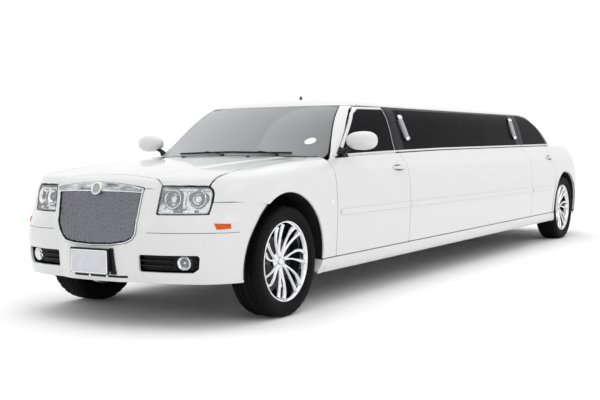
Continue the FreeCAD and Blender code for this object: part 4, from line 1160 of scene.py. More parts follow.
ytip = tail_xy(0.712, 1.046)
q_pts = [("z", y, z) for y, z in dog] + [("z", 5.719, 0.80), ("z", 5.719, 1.00), ("z", 5.719, 1.06), ("x", 5.719, 0.78), ("x", 5.719, 0.70),
         ("x", 5.95, 0.40), ("x", 6.0, 0.0005), ("x", 6.220, 0.0005), ("x", 6.213, 0.30), ("x", 6.185, 0.630, 0.01), ("x", 6.292, 0.706, 0.03),
         ("x", 6.60, 0.722), ("x", 6.86, 0.716), ("x", ytip - 0.01, 0.714, 0.004), ("z", ytip - 0.01, 1.047, 0.003), ("z", 6.898, 1.046, 0.01), ("z", 6.874, 1.0),
         ("z", 6.893, 0.76), ("z", 6.926, 0.712, 0.004), ("z", 6.905, 0.671, 0.004)] + [("z", y, z) for y, z in arch_r[::-1]]
quarter = panel_data(QRT, sv(QRT, *q_pts), t=0.012, step=0.02)
place("rear_quarter_skins", [quarter, flip(quarter)], PAINT, "body_shell", "white_paint", ("rear_quarters",))

DECK = Deck()


def dv(x, y=None, z=None, r=0.0):
    return (x, DECK.v_of_y(x, y) if y is not None else DECK.v_of_z(x, z), r)


lid_half = [dv(0.0, 6.226), dv(0.30, 6.219), dv(0.640, 6.192, r=0.012), dv(0.700, 6.300, r=0.05), dv(0.716, 6.60), (0.7095, 0.620, 0.012),
            (0.664, 0.686, 0.0), (0.640, 0.735, 0.0), (0.6265, 0.758, 0.012), dv(0.616, z=0.90), dv(0.612, z=0.7435, r=0.008), dv(0.56, z=0.743), dv(0.50, z=0.743), dv(0.44, z=0.7425), dv(0.38, z=0.7425), dv(0.30, z=0.742), dv(0.20, z=0.742), dv(0.10, z=0.742), dv(0.0, z=0.742)]
lid = panel_data(DECK, half_to_full(lid_half), t=0.02, step=0.022, r=0.004)
place("boot_lid_skin", [lid], PAINT, "boot_panel", "white_paint", ("boot_lid",))


def tz(x, z, r=0.0):
    return (TAIL.s_of_x(x, z), z, r)


def ty(y, z, r=0.0):
    return (TAIL.s_of_y(y, z), z, r)


ar = arch_pts(1, 0.262, 0.665, "rear_to_front", 20)
ar = [p for p in ar if p[0] > WB]
rb_half = [(0.0, 0.300), tz(0.30, 0.300), tz(0.62, 0.296), ty(6.56, 0.262, 0.02)] + [ty(y, z) for y, z in ar if z > 0.27] + \
          [ty(6.912, 0.665, 0.006), ty(6.934, 0.705, 0.006), tz(0.614, 0.705, 0.006), tz(0.610, 0.737, 0.006), tz(0.30, 0.737), (0.0, 0.737)]
rb = panel_data(TAIL, half_to_full(rb_half), t=0.016, step=0.022, r=0.004)
place("rear_bumper_skin", [rb], PAINT, "body_shell", "white_paint", ("rear_bumper",))
tl = [tz(0.620, 0.711, 0.006), ty(6.936, 0.711, 0.006), ty(6.8985, 0.762), ty(6.890, 0.85), ty(6.884, 0.93), ty(6.879, 1.0), ty(6.8985, 1.0345, 0.006), ty(6.93, 1.0380), tz(0.6400, 1.0320, 0.006), tz(0.6325, 1.015), tz(0.6300, 1.0), tz(0.6220, 0.90), tz(0.6180, 0.76)]
tlamp = panel_data(TAIL, tl, t=0.02, step=0.015, r=0.006)
place("tail_lamp_lenses", [tlamp, flip(tlamp)], REDLENS, "body_shell", "red_lens", ("tail_lamps",))
# clear reversing strip of the tail lamps
tlc = panel_data(TAIL, [tz(0.640, 0.800, 0.01), ty(6.99, 0.800, 0.01), ty(6.985, 0.856, 0.01), tz(0.642, 0.856, 0.01)], t=0.01, step=0.015, r=0.004, lift=0.003)
place("tail_lamp_clear_strips", [tlc, flip(tlc)], LAMPGREY, "body_shell", "clear_lens")

# ------------------------------------------------------------------ cabin
CABF = Wrap(CABIN, 0.99, 1.518, 2.6, True); CABF.sign = 1.0
CABR = Wrap(CABIN, 0.99, 1.518, 2.6, False); CABR.sign = -1.0


class CabSide:
    """Side of the cabin: u = y, v = z."""
    sign = 1.0

    def __init__(self):
        self.ys = np.arange(0.5, 6.4, 0.01)
        zs = np.arange(0.99, 1.5181, 0.006)
        X = np.zeros((len(self.ys), len(zs)))
        s = np.arange(0, 2.6, DS)
        for j, z in enumerate(zs):
            xf, yf = CABF.g(np.full_like(s, z), s)
            xr, yr = CABR.g(np.full_like(s, z), s)
            a = np.interp(self.ys, yf, xf, left=0.02)
            b = np.interp(-self.ys, -yr, xr, left=0.02)
            X[:, j] = np.minimum(a, b)
        self.g = Grid(0.5, 0.01, 0.99, 0.006, X)

    def pos(self, q):
        x, = self.g(q[:, 0], q[:, 1])
        return np.stack([x, q[:, 0], q[:, 1]], 1)


CS = CabSide()
ROOF_Z = 1.441


def cf(x, z, r=0.0):
    return (CABF.s_of_x(x, z), z, r)


def cfy(y, z, r=0.0):
    return (CABF.s_of_y(y, z), z, r)


def cr(x, z, r=0.0):
    return (CABR.s_of_x(x, z), z, r)


def cry(y, z, r=0.0):
    return (CABR.s_of_y(y, z), z, r)


# roof: rings of the outline from the gutter up to the middle
def ring(z, nf=40, ns=36):
    """Closed outline of the cabin at height z with matched points."""
    s = np.arange(0, 2.6, DS)
    xf, yf = CABF.g(np.full_like(s, z), s)
    xr, yr = CABR.g(np.full_like(s, z), s)
    af_ = np.interp(np.linspace(0, 1, nf) ** 1.0 * 0.85, s, s)
    F_ = np.stack([np.interp(af_, s, xf), np.interp(af_, s, yf)], 1)
    R_ = np.stack([np.interp(af_, s, xr), np.interp(af_, s, yr)], 1)
    t = np.linspace(0, 1, ns + 2)[1:-1, None]
    S_ = F_[-1] * (1 - t) + R_[-1] * t
    half = np.concatenate([F_, S_, R_[::-1]])
    full = np.concatenate([half, (half * [-1, 1])[::-1][1:-1]])
    return np.column_stack([full, np.full(len(full), z)]), len(half)


zs = [1.441, 1.447, 1.454, 1.461, 1.468, 1.475, 1.482, 1.489, 1.496, 1.502, 1.5075, 1.512, 1.5155, 1.518]
rings = []
for z in zs:
    rg, nh = ring(z)
    rings.append(rg)
last = rings[-1]
for w in (0.12, 0.26, 0.42, 0.58, 0.74, 0.88, 0.97):
    p = last.copy()
    p[:, 0] *= (1 - w)
    yc_ = np.clip(p[:, 1], 2.3, 4.3)
    p[:, 1] = p[:, 1] + (yc_ - p[:, 1]) * w
    p[:, 2] = 1.518 + 0.0035 * (1 - (1 - w) ** 2)
    rings.append(p)
R3 = np.array(rings)
n_, m_ = R3.shape[:2]
a_ = np.gradient(R3, axis=0); b_ = np.roll(R3, -1, 1) - np.roll(R3, 1, 1)
Nn = np.cross(a_, b_)
Nn /= np.maximum(np.linalg.norm(Nn, axis=2, keepdims=True), 1e-9)
if Nn[:, :, 2].mean() < 0:
    Nn = -Nn
Nn[-3:] = (0, 0, 1)
In = R3 - Nn * 0.03
In[:, :, 2] = np.minimum(In[:, :, 2], R3[:, :, 2] - 0.004)
V = np.concatenate([R3.reshape(-1, 3), In.reshape(-1, 3)])
F = []
o_ = n_ * m_
for i in range(n_ - 1):
    for j in range(m_):
        k = (j + 1) % m_
        F.append([i * m_ + j, i * m_ + k, (i + 1) * m_ + k, (i + 1) * m_ + j])
        F.append([o_ + i * m_ + j, o_ + (i + 1) * m_ + j, o_ + (i + 1) * m_ + k, o_ + i * m_ + k])
for j in range(m_):
    k = (j + 1) % m_
    F.append([j, o_ + j, o_ + k, k])
tb = (n_ - 1) * m_
for j in range(nh - 1):
    a, b = j, j + 1
    c, d = (m_ - j - 1) % m_, (m_ - j) % m_
    if j == 0:
        d = 0
    q = [a, b, c, d] if d != a else [a, b, c]
    if b == c:
        q = [a, b, d]
    F.append([tb + v for v in q])
    F.append([o_ + tb + v for v in q[::-1]])
roof = orient((V, F, None))
place("roof_skin", [roof], PAINT, "body_shell", "white_paint", ("roof",))

def wsx(z):
    return 0.606 + 0.159 * (1.428 - z) / 0.356


WS_S = [1.072, 1.16, 1.25, 1.34, 1.40]
ws_half = [(0.0, 0.998), cf(0.35, 0.998), cf(0.745, 0.998, 0.02)] + [cf(wsx(z), z) for z in WS_S] + [cf(wsx(1.428), 1.428, 0.03), cf(0.45, 1.4395), (0.0, 1.4395)]
wglass = panel_data(CABF, half_to_full(ws_half), t=0.005, step=0.03, r=0.001, lift=-0.003)
place("windscreen_glass", [wglass], SCREEN, "body_shell", "tinted_screen", ("windscreen",))
seal_half = [(0.0, 0.985), cf(0.35, 0.985), cf(0.752, 0.992, 0.02)] + [cf(wsx(z) + 0.007, z) for z in WS_S] + [cf(wsx(1.432) + 0.004, 1.432, 0.03), cf(0.45, 1.443), (0.0, 1.443)]
seal_in = [(0.0, 1.055), cf(0.35, 1.060), cf(0.715, 1.072, 0.03)] + [cf(wsx(z) - 0.024, z) for z in WS_S[1:]] + [cf(wsx(1.418) - 0.022, 1.418, 0.04), cf(0.45, 1.428), (0.0, 1.428)]
wseal = panel_data(CABF, half_to_full(seal_half), [half_to_full(seal_in)], t=0.003, step=0.03, r=0.001, lift=-0.0085)
place("windscreen_border", [wseal], SEAL, "body_shell", "black_plastic")

ap_out = [cf(wsx(1.030) + 0.012, 1.030)] + [cf(wsx(z) + 0.008, z) for z in WS_S[1:]] + [cf(wsx(1.4395) + 0.004, 1.4395)] +          [cfy(1.372, 1.4395), cfy(1.290, 1.431, 0.02), cfy(1.199, 1.376, 0.02), cfy(1.046, 1.244), cfy(0.839, 1.066), cfy(0.785, 1.020), cfy(0.75, 1.000)]
apil = panel_data(CABF, ap_out, t=0.02, step=0.02, r=0.004)
cp_out = [cr(0.662, 1.070), cr(0.656, 1.110), cr(0.600, 1.24), cr(0.548, 1.376, 0.03), cr(0.500, 1.4395), cry(5.15, 1.4395), cry(5.366, 1.414, 0.03),
          cry(5.591, 1.324, 0.03), cry(5.808, 1.124, 0.01), cry(5.735, 1.070)]
cpil = panel_data(CABR, cp_out, t=0.02, step=0.02, r=0.004)
place("pillar_skins", [apil, flip(apil), cpil, flip(cpil)], PAINT, "body_shell", "white_paint")
rw_half = [(0.0, 1.02), cr(0.30, 1.02), cr(0.640, 1.06, 0.02), cr(0.648, 1.108), cr(0.594, 1.24), cr(0.541, 1.374, 0.03), cr(0.494, 1.434, 0.02), cr(0.25, 1.4385), (0.0, 1.4385)]
rglass = panel_data(CABR, half_to_full(rw_half), t=0.005, step=0.03, r=0.001, lift=-0.003)
place("rear_window_glass", [rglass], DARKGLASS, "body_shell", "dark_glass", ("rear_window",))

# side glazing: frames of the doors, black surround of the long glass
F_FRONT = [(0.800, 1.022, 0.004), (0.845, 1.062), (1.052, 1.240), (1.205, 1.372, 0.02), (1.300, 1.428, 0.02), (1.818, 1.4375, 0.008), (1.821, 1.045), (1.2, 1.034)]
W_FRONT = [(0.885, 1.062, 0.02), (1.245, 1.372, 0.03), (1.345, 1.411, 0.03), (1.776, 1.418, 0.012), (1.778, 1.074, 0.012), (1.3, 1.068)]
ff = panel_data(CS, F_FRONT, [W_FRONT], t=0.022, step=0.02, r=0.003)
fg = panel_data(CS, [(a[0], a[1]) for a in W_FRONT], t=0.004, step=0.03, r=0.001, lift=-0.006)
fch = panel_data(CS, W_FRONT, [[(0.903, 1.067, 0.02), (1.250, 1.366, 0.03), (1.347, 1.404, 0.03), (1.769, 1.411, 0.012), (1.771, 1.080, 0.012), (1.3, 1.075)]], t=0.004, step=0.03, r=0.001, lift=-0.002)
fpo = panel_data(CS, [(1.781, 1.046, 0.004), (1.8195, 1.047, 0.004), (1.8165, 1.4355, 0.006), (1.779, 1.4345, 0.006)], t=0.003, step=0.03, r=0.001, lift=0.0015)
F_LONG = [(1.827, 1.045), (1.827, 1.4375, 0.004), (4.881, 1.4395, 0.004), (4.881, 1.085), (2.7, 1.058)]
W_LONG = [(1.960, 1.082, 0.012), (1.960, 1.416, 0.012), (4.738, 1.426, 0.012), (4.738, 1.106, 0.012), (2.7, 1.088)]
fl = panel_data(CS, F_LONG, [W_LONG], t=0.022, step=0.03, r=0.002)
lg = panel_data(CS, [(a[0], a[1]) for a in W_LONG], t=0.004, step=0.05, r=0.001, lift=-0.003)
F_REAR = [(4.887, 1.080), (4.887, 1.4395, 0.008), (5.140, 1.4385), (5.360, 1.408, 0.03), (5.585, 1.318, 0.03), (5.800, 1.120, 0.006), (5.70, 1.085)]
W_REAR = [(4.960, 1.112, 0.012), (4.960, 1.428, 0.012), (5.120, 1.426), (5.335, 1.390, 0.03), (5.545, 1.300, 0.03), (5.725, 1.130, 0.01)]
fr = panel_data(CS, F_REAR, [W_REAR], t=0.022, step=0.02, r=0.003)
rg_ = panel_data(CS, [(a[0], a[1]) for a in W_REAR], t=0.004, step=0.03, r=0.001, lift=-0.004)
for side, fn in (("left", lambda d: d), ("right", flip)):
    place("front_door_frame_" + side, [fn(ff)], PAINT, "door_front_" + side, "white_paint")
    place("front_door_seals_" + side, [fn(fch), fn(fpo)], BLACKGLOSS, "door_front_" + side, "black_plastic")
    place("front_door_pane_" + side, [fn(fg)], DARKGLASS, "door_front_" + side, "dark_glass", ("front_door_glass_" + side,))
    place("rear_door_frame_" + side, [fn(fr)], BLACKGLOSS, "door_rear_" + side, "black_plastic")
    place("rear_door_pane_" + side, [fn(rg_)], DARKGLASS, "door_rear_" + side, "dark_glass", ("rear_door_glass_" + side,))
place("long_glass_surrounds", [fl, flip(fl)], BLACKGLOSS, "body_shell", "black_plastic")
place("long_glass_panes", [lg, flip(lg)], DARKGLASS, "body_shell", "dark_glass", ("long_side_windows",))


def belt_band(m, y0, y1, lo, hi, lift, t=0.010, r=0.004, zf=belt, n=24):
    ys = np.linspace(y0, y1, n)
    return panel_data(m, [(y, zf(y) + lo) for y in ys] + [(y, zf(y) + hi) for y in ys[::-1]], t=t, step=0.05, r=r, lift=lift, estep=0.06)


fb = belt_band(CS, 0.800, 1.8205, 0.004, 0.020, 0.006)
cb = belt_band(CS, 1.8275, 4.8805, 0.004, 0.020, 0.006)
rbm = belt_band(CS, 4.8875, 5.80, 0.004, 0.020, 0.006)
mz = lambda y: 0.652 - (y - 0.666) * 0.0054


def mould(y0, y1):
    return panel_data(SIDE, [(y0, mz(y0) - 0.021, 0.006), (y1, mz(y1) - 0.021, 0.006), (y1, mz(y1) + 0.021, 0.006), (y0, mz(y0) + 0.021, 0.006)],
                      t=0.013, step=0.03, r=0.006, lift=0.010, estep=0.04)


fm, cm, rm = mould(0.668, 1.8205), mould(1.8275, 4.8805), mould(4.908, 5.520)
for side, fn in (("left", lambda d: d), ("right", flip)):
    place("front_door_mouldings_" + side, [fn(fm), fn(fb)], PAINT, "door_front_" + side, "white_paint")
    place("rear_door_mouldings_" + side, [fn(rm), fn(rbm)], PAINT, "door_rear_" + side, "white_paint")
place("centre_mouldings", [cm, flip(cm), cb, flip(cb)], PAINT, "body_shell", "white_paint")


def gutter():
    ys = np.concatenate([np.linspace(1.375, 1.42, 4), np.linspace(1.5, 5.05, 40), np.linspace(5.08, 5.30, 8)])
    P = []
    for y in ys:
        z = 1.4425 - 0.02 * float(sstep((y - 5.12) / 0.2))
        x = float(CS.g(np.array([y]), np.array([z]))[0][0])
        P.append((x + 0.003, y, z))
    return tube(P, 0.0055, 8, 1.1)


gt = gutter()
place("roof_gutters", [gt, flip(gt)], PAINT, "body_shell", "white_paint")

# ------------------------------------------------------------------ small helpers
def put(d, at, n, up=(0, 0, 1)):
    """Turn a part built along +x so that +x points along n, and move it."""
    n = np.array(n, float); n /= np.linalg.norm(n)
    u = np.array(up, float)
    s = np.cross(u, n)
    if np.linalg.norm(s) < 1e-6:
        s = np.array([0.0, 1.0, 0.0])
    s /= np.linalg.norm(s)
    t = np.cross(n, s)
    M = np.stack([n, s, t], 1)
    V = d[0] @ M.T + np.array(at, float)
    N = None if d[2] is None else d[2] @ M.T
    return V, d[1], N


def on(m, q, lift=0.0):
    q = np.array([q], float)
    n = nrm(m, q)[0]
    return m.pos(q)[0] + n * lift, n


def onx(x, z, lift=0.0, m=None):
    m = m or NOSE
    return on(m, (m.s_of_x(x, z), z), lift)


def both(*ds):
    return [d for d in ds] + [flip(d) for d in ds]


def pillow(size, at, rot=(0, 0, 0), nx=26, ny=26, puff=0.5, pleats=0, axis=0, e=0.42, pleat_depth=0.006):
    """Stuffed block: rounded box with a crowned, pleated upper side."""
    a, b, c = [s / 2 for s in size]
    V = []
    us = np.linspace(-1, 1, nx); vs = np.linspace(-1, 1, ny)

    def sq(t):
        return np.sign(t) * (1 - (1 - np.abs(t)) ** 1.7)
    top, bot = [], []
    for i, u in enumerate(us):
        for j, v in enumerate(vs):
            x, y = sq(u), sq(v)
            k = max(abs(x), abs(y))
            edge = (1 - min(1.0, abs(x)) ** 6) * (1 - min(1.0, abs(y)) ** 6)
            rim = edge ** e
            cr = (1 - x * x) * (1 - y * y)
            z = c * (0.55 * rim + 0.45 * puff * cr * 2)
            if pleats:
                w = x if axis == 0 else y
                z -= pleat_depth * (0.5 + 0.5 * math.cos(w * math.pi * pleats)) ** 8 * rim
            rx = a * x * (1 - 0.04 * (1 - rim)); ry = b * y * (1 - 0.04 * (1 - rim))
            top.append((rx, ry, z)); bot.append((rx, ry, -c * (0.35 + 0.65 * rim)))
    V = np.array(top + bot)
    V[:, 2] = np.clip(V[:, 2], -c, c)
    n = nx * ny
    F = []
    for i in range(nx - 1):
        for j in range(ny - 1):
            q = [i * ny + j, (i + 1) * ny + j, (i + 1) * ny + j + 1, i * ny + j + 1]
            F.append(q); F.append([n + k for k in q[::-1]])
    per = [i * ny for i in range(nx)] + [(nx - 1) * ny + j for j in range(1, ny)] + [i * ny + ny - 1 for i in range(nx - 2, -1, -1)] + [j for j in range(ny - 2, 0, -1)]
    for p, q in zip(per, per[1:] + per[:1]):
        F.append([q, p, n + p, n + q])
    rx, ry, rz = rot
    R = np.array(Matrix.Rotation(rz, 3, "Z") @ Matrix.Rotation(ry, 3, "Y") @ Matrix.Rotation(rx, 3, "X"))
    V = V @ R.T + np.array(at, float)
    if volume(V, F) < 0:
        F = [f[::-1] for f in F]
    return V, F, None


MESHWIRE = node_mat("grille_wire", (0.34, 0.34, 0.38), 0.30, metal=0.85, noise=0.10, nscale=60.0, rvar=0.06, bump=0.05, bscale=300.0)
BADGE = node_mat("plain_disc", (0.40, 0.39, 0.37), 0.22, metal=0.7, noise=0.08, nscale=50.0, rvar=0.05, bump=0.04, bscale=200.0)
LAMPDARK = node_mat("lamp_interior", (0.055, 0.057, 0.060), 0.22, metal=0.4, noise=0.15, nscale=50.0, rvar=0.06, bump=0.05, bscale=300.0)
OPAL = node_mat("opal_lamp", (0.36, 0.36, 0.375), 0.25, coat=0.3, noise=0.04, nscale=30.0, rvar=0.05, bump=0.03, bscale=250.0)
STICKER = node_mat("blank_label", (0.82, 0.82, 0.82), 0.5, noise=0.03, nscale=60.0, rvar=0.05, bump=0.02, bscale=300.0)
CARPET = node_mat("carpet", (0.035, 0.034, 0.033), 0.95, noise=0.25, nscale=90.0, rvar=0.03, bump=0.6, bscale=1200.0, bdist=0.002)

# ------------------------------------------------------------------ headlamps
lamp_q = [nz(x, z, 0.012) for x, z in LAMP]
LAMP2 = [(lx(x), z) for x, z in ((0.5075, 0.8815), (0.620, 0.8800), (0.750, 0.8755), (0.768, 0.861), (0.7745, 0.838), (0.7725, 0.776), (0.764, 0.7185), (0.4945, 0.7185))]
lamp_q2 = [nz(x, z, 0.010) for x, z in LAMP2]
bez = panel_data(NOSE, lamp_q, [lamp_q2], t=0.010, step=0.015, r=0.0015, lift=-0.0015, estep=0.02)
lwall = panel_data(NOSE, lamp_q, [[(a * 1.0, b) for a, b, c in [nz(x, z) for x, z in LAMP2]]], t=0.034, step=0.02, r=0.001, lift=-0.0118, estep=0.02)
place("headlamp_frames", both(bez), BLACKGLOSS, "body_shell", "black_plastic", ("headlamps",))
back = panel_data(NOSE, lamp_q, t=0.006, step=0.02, r=0.001, lift=-0.046)
place("headlamp_housings", both(back, lwall), LAMPBOWL, "body_shell", "bright_chrome")
lens = panel_data(NOSE, lamp_q, t=0.0035, step=0.015, r=0.001, lift=-0.0005)
place("headlamp_lenses", both(lens), LENS, "body_shell", "clear_lens")
bowl_prof = lambda r: [(0, -0.040), (r * 0.35, -0.039), (r * 0.66, -0.030), (r * 0.88, -0.014), (r * 0.96, -0.002), (r, 0.0), (r * 1.06, -0.002), (r * 1.06, -0.012),
                       (r * 1.0, -0.014), (r * 0.95, -0.030), (r * 0.72, -0.042), (0, -0.044)]
bowls, bulbs, rings_ = [], [], []
for x, z, r in ((0.521, 0.812, 0.0590), (0.676, 0.812, 0.0520)):
    p, n = onx(x, z, -0.016)
    n2 = n * np.array([0.55, 1, 1]); n2 /= np.linalg.norm(n2)
    bowls.append(put(lathe(bowl_prof(r), 48), p, n2))
    bulbs.append(put(lathe([(0, -0.006), (r * 0.20, -0.008), (r * 0.34, -0.016), (r * 0.38, -0.026), (r * 0.30, -0.036), (0, -0.037)], 32), p, n2))
    rings_.append(put(lathe([(r * 1.065, -0.006), (r * 1.13, -0.004), (r * 1.15, -0.010), (r * 1.13, -0.020), (r * 1.065, -0.020)], 48), p, n2))
    rings_.append(put(lathe([(r * 0.44, -0.012), (r * 0.50, -0.010), (r * 0.52, -0.016), (r * 0.50, -0.034), (r * 0.44, -0.034)], 40), p, n2))
place("headlamp_bowls", both(*bowls), LAMPBOWL, "body_shell", "bright_chrome")
place("headlamp_projectors", both(*bulbs), LENS, "body_shell", "clear_lens")
place("headlamp_rings", both(*rings_), LAMPDARK, "body_shell", "dark_trim")
strip_q = [nz(lx(x), z, 0.004) for x, z in ((0.506, 0.724), (0.762, 0.724), (0.766, 0.744), (0.506, 0.744))]
# Painted reflection: dark crescents around the bowls and dark patches over the lower ribs stand in for the dark
# reflections in the lamp chrome.
painted_dark_arcs = []
for bx, bz, br, a0, a1 in ((0.505, 0.818, 0.040, 100, 250), (0.540, 0.806, 0.036, -70, 60), (0.668, 0.815, 0.034, 110, 240), (0.700, 0.812, 0.034, -60, 70), (0.600, 0.775, 0.030, 190, 330)):
    arc_ = [onx(bx + br * math.cos(math.radians(a)), bz + br * math.sin(math.radians(a)), -0.012)[0] for a in np.linspace(a0, a1, 14)]
    painted_dark_arcs.append(tube(arc_, [0.0022 + 0.0036 * math.sin(math.pi * t) for t in np.linspace(0.04, 0.96, 14)], 6))
for xa_, xb_, z0, z1 in ((0.585, 0.640, 0.728, 0.741), (0.700, 0.722, 0.728, 0.741)):
    painted_dark_arcs.append(panel_data(NOSE, [nz(x, z, 0.002) for x, z in ((lx(xa_), z0), (lx(xb_), z0), (lx(xb_), z1), (lx(xa_), z1))], t=0.006, step=0.02, r=0.0015, lift=-0.009))
place("headlamp_painted_dark_arcs", both(*painted_dark_arcs), LAMPDARK, "body_shell", "dark_trim")
ribs = []
for k in range(9):
    x0 = 0.512 + k * 0.0285
    ribs.append(panel_data(NOSE, [nz(lx(x), z, 0.003) for x, z in ((x0, 0.726), (x0 + 0.020, 0.726), (x0 + 0.020, 0.742), (x0, 0.742))], t=0.006, step=0.02, r=0.002, lift=-0.013))
lowstrip = panel_data(NOSE, strip_q, t=0.008, step=0.02, r=0.002, lift=-0.020)
brow_chrome = panel_data(NOSE, [nz(lx(x), z, 0.004) for x, z in ((0.506, 0.866), (0.760, 0.862), (0.762, 0.871), (0.506, 0.875))], t=0.008, step=0.02, r=0.002, lift=-0.018)
sidefill = panel_data(NOSE, [nz(x, z, 0.004) for x, z in ((0.594, 0.760), (0.603, 0.760), (0.606, 0.862), (0.597, 0.862))], t=0.010, step=0.02, r=0.002, lift=-0.016)
place("headlamp_lower_reflectors", both(lowstrip, *ribs, brow_chrome, sidefill), LAMPBOWL, "body_shell", "bright_chrome")

# ------------------------------------------------------------------ grille
GO = [(0.0, 0.5145), (0.149, 0.5195), (0.2565, 0.5355), (0.298, 0.558), (0.3245, 0.594), (0.3365, 0.641), (0.3435, 0.730), (0.3545, 0.843), (0.3605, 0.8735)]
gtop = [(0.26, 0.8925), (0.12, 0.9055), (0.0, 0.9115)]
GI = [(0.0, 0.5225), (0.1475, 0.5275), (0.2530, 0.5430), (0.2920, 0.5640), (0.3175, 0.5980), (0.3290, 0.6425), (0.3362, 0.730), (0.3455, 0.828), (0.3470, 0.8455)]
GW = [(0.0, 0.5300), (0.145, 0.535), (0.248, 0.550), (0.2855, 0.570), (0.310, 0.602), (0.3215, 0.645), (0.3285, 0.730), (0.3375, 0.828), (0.3390, 0.8455)]
gi_top = [(0.20, 0.851), (0.0, 0.853)]
ring_q = half_to_full([(0.0, GO[0][1])] + [nz(x, z, 0.02 if i < 5 else 0.0) for i, (x, z) in enumerate(GO[1:])] + [nz(x, z) for x, z in gtop])
rin_q = half_to_full([(0.0, GI[0][1])] + [nz(x, z, 0.02 if i < 5 else 0.003) for i, (x, z) in enumerate(GI[1:])] + [nz(x, z) for x, z in gi_top])
surround = panel_data(NOSE, ring_q, [rin_q], t=0.022, step=0.015, r=0.005, lift=0.006, estep=0.02)
# raised top bar
bar_up = [(0.0, 0.9085), (0.12, 0.9025), (0.26, 0.8895), (0.3575, 0.8705)]
bar_lo = [(0.345, 0.8500), (0.20, 0.8575), (0.0, 0.8600)]
bar_q = half_to_full([(0.0, 0.8600), nz(0.20, 0.8575), nz(0.345, 0.8500, 0.003), nz(0.3575, 0.8705, 0.003), nz(0.26, 0.8895), nz(0.12, 0.9025), (0.0, 0.9085)])
bar = panel_data(NOSE, bar_q, t=0.014, step=0.014, r=0.008, lift=0.013, estep=0.02)
# Painted reflection: a darker chrome whose colour is streaked by strong stretched noise, standing in for the dark and
# bright reflections along the top bar.
BAR_CHROME_PAINTED_REFLECTION = node_mat("bar_chrome_painted_reflection", (0.44, 0.445, 0.46), 0.10, metal=1.0, noise=0.75, nscale=9.0, rvar=0.05, bump=0.05, bscale=60.0, stretch=(1.0, 1.0, 2.5))
place("grille_surround", [surround], CHROME, "body_shell", "bright_chrome", ("grille",))
place("grille_top_bar", [bar], BAR_CHROME_PAINTED_REFLECTION, "body_shell", "bright_chrome")
gback = panel_data(NOSE, half_to_full([(0.0, GI[0][1] - 0.008)] + [nz(x + 0.006, z - 0.003) for x, z in GI[1:]] + [nz(x, z + 0.01) for x, z in gi_top]), t=0.006, step=0.03, r=0.001, lift=-0.022)
place("grille_backing", [gback], SEAL, "body_shell", "black_plastic")
poly_in = [(x, z) for x, z in GW] + [(0.20, 0.851), (0.0, 0.853)]
poly_full = poly_in + [(-x, z) for x, z in poly_in[::-1] if x > 1e-6]
NS = {}


def nose_pt(x, z, lift):
    q = np.array([[NOSE.s_of_x(x, z), z]])
    p = NOSE.pos(q)[0]
    return p + np.array([0, -1, 0]) * lift


wires = []
pitch = 0.0165
for fam in (1, -1):
    c = -1.2
    while c < 1.7:
        # line z = z0 + fam * 0.80 * (x - c)
        tt_ = np.arange(-0.36, 0.361, 0.006)
        qq = np.stack([tt_, 0.70 + fam * 0.80 * (tt_ - c + 0.25)], 1)
        qq = qq[(qq[:, 1] > 0.50) & (qq[:, 1] < 0.88)]
        pts = [tuple(a_) for a_ in qq[inside(qq, poly_full)]] if len(qq) else []
        if len(pts) > 2:
            path = []
            sub_ = pts[::3] + ([pts[-1]] if (len(pts) - 1) % 3 else [])
            for i, (x, z) in enumerate(sub_):
                path.append(nose_pt(x, z, -0.009 + 0.0012 * fam * (1 if i % 2 else -1)))
            if len(path) > 1:
                wires.append(tube(path, 0.0021, 4, 1.0))
        c += pitch
place("grille_wires", wires, MESHWIRE, "body_shell", "bright_chrome")
p, n = onx(0.0, 0.868, 0.015)
place("grille_disc_ring", [put(lathe([(0.029, 0.002), (0.0315, 0.0065), (0.036, 0.0080), (0.0405, 0.0060), (0.0425, 0.0), (0.042, -0.012), (0.029, -0.012)], 56), p, n)], CHROME, "body_shell", "bright_chrome")
place("grille_disc", [put(lathe([(0, 0.0045), (0.012, 0.0040), (0.022, 0.0028), (0.0275, 0.0005), (0.0300, -0.004), (0, -0.004)], 56), p, n)], BADGE, "body_shell", "bright_chrome")

# ------------------------------------------------------------------ fog lamps, lower opening, plate
FOG_T = [(0.336, 0.354), (0.336, 0.470), (0.723, 0.470), (0.734, 0.454), (0.726, 0.380), (0.692, 0.353)]
tray = panel_data(NOSE, [nz(x, z, 0.012) for x, z in FOG_T], t=0.006, step=0.03, r=0.001, lift=-0.042)
FOG_I = [(0.343, 0.364), (0.343, 0.462), (0.718, 0.462), (0.7245, 0.451), (0.7165, 0.387), (0.685, 0.3625)]
wall_ = panel_data(NOSE, [nz(x, z, 0.012) for x, z in FOG_T], [[nz(x, z, 0.010) for x, z in FOG_I]], t=0.030, step=0.03, r=0.001, lift=-0.0165)
bars_ = []
for z0 in (0.393, 0.4255):
    for xa_, xb_ in ((0.344, 0.568), (0.688, 0.720)):
        bars_.append(panel_data(NOSE, [nz(x, z, 0.002) for x, z in ((xa_, z0), (xb_, z0), (xb_, z0 + 0.010), (xa_, z0 + 0.010))], t=0.020, step=0.03, r=0.003, lift=-0.014))
place("fog_recesses", both(tray, wall_, *bars_), PLASTIC, "body_shell", "black_plastic", ("fog_lamps",))
p, n = onx(0.633, 0.415, -0.026)
n2 = n * np.array([0.45, 1, 1]); n2 /= np.linalg.norm(n2)
fbowl = put(lathe([(0, -0.028), (0.016, -0.026), (0.030, -0.014), (0.0375, 0.0), (0.041, 0.003), (0.0455, 0.0), (0.0465, -0.010), (0.0460, -0.030), (0, -0.032)], 48), p, n2)
flens = put(lathe([(0, 0.0035), (0.020, 0.0025), (0.0365, -0.0005), (0.037, -0.003), (0, -0.002)], 40), p, n2)
fbulb = put(lathe([(0, -0.006), (0.006, -0.008), (0.009, -0.014), (0.0095, -0.0245), (0, -0.0255)], 24), p, n2)
place("fog_lamp_bowls", both(fbowl, fbulb), LAMPBOWL, "body_shell", "bright_chrome")
place("fog_lamp_glasses", both(flens), LENS, "body_shell", "clear_lens")

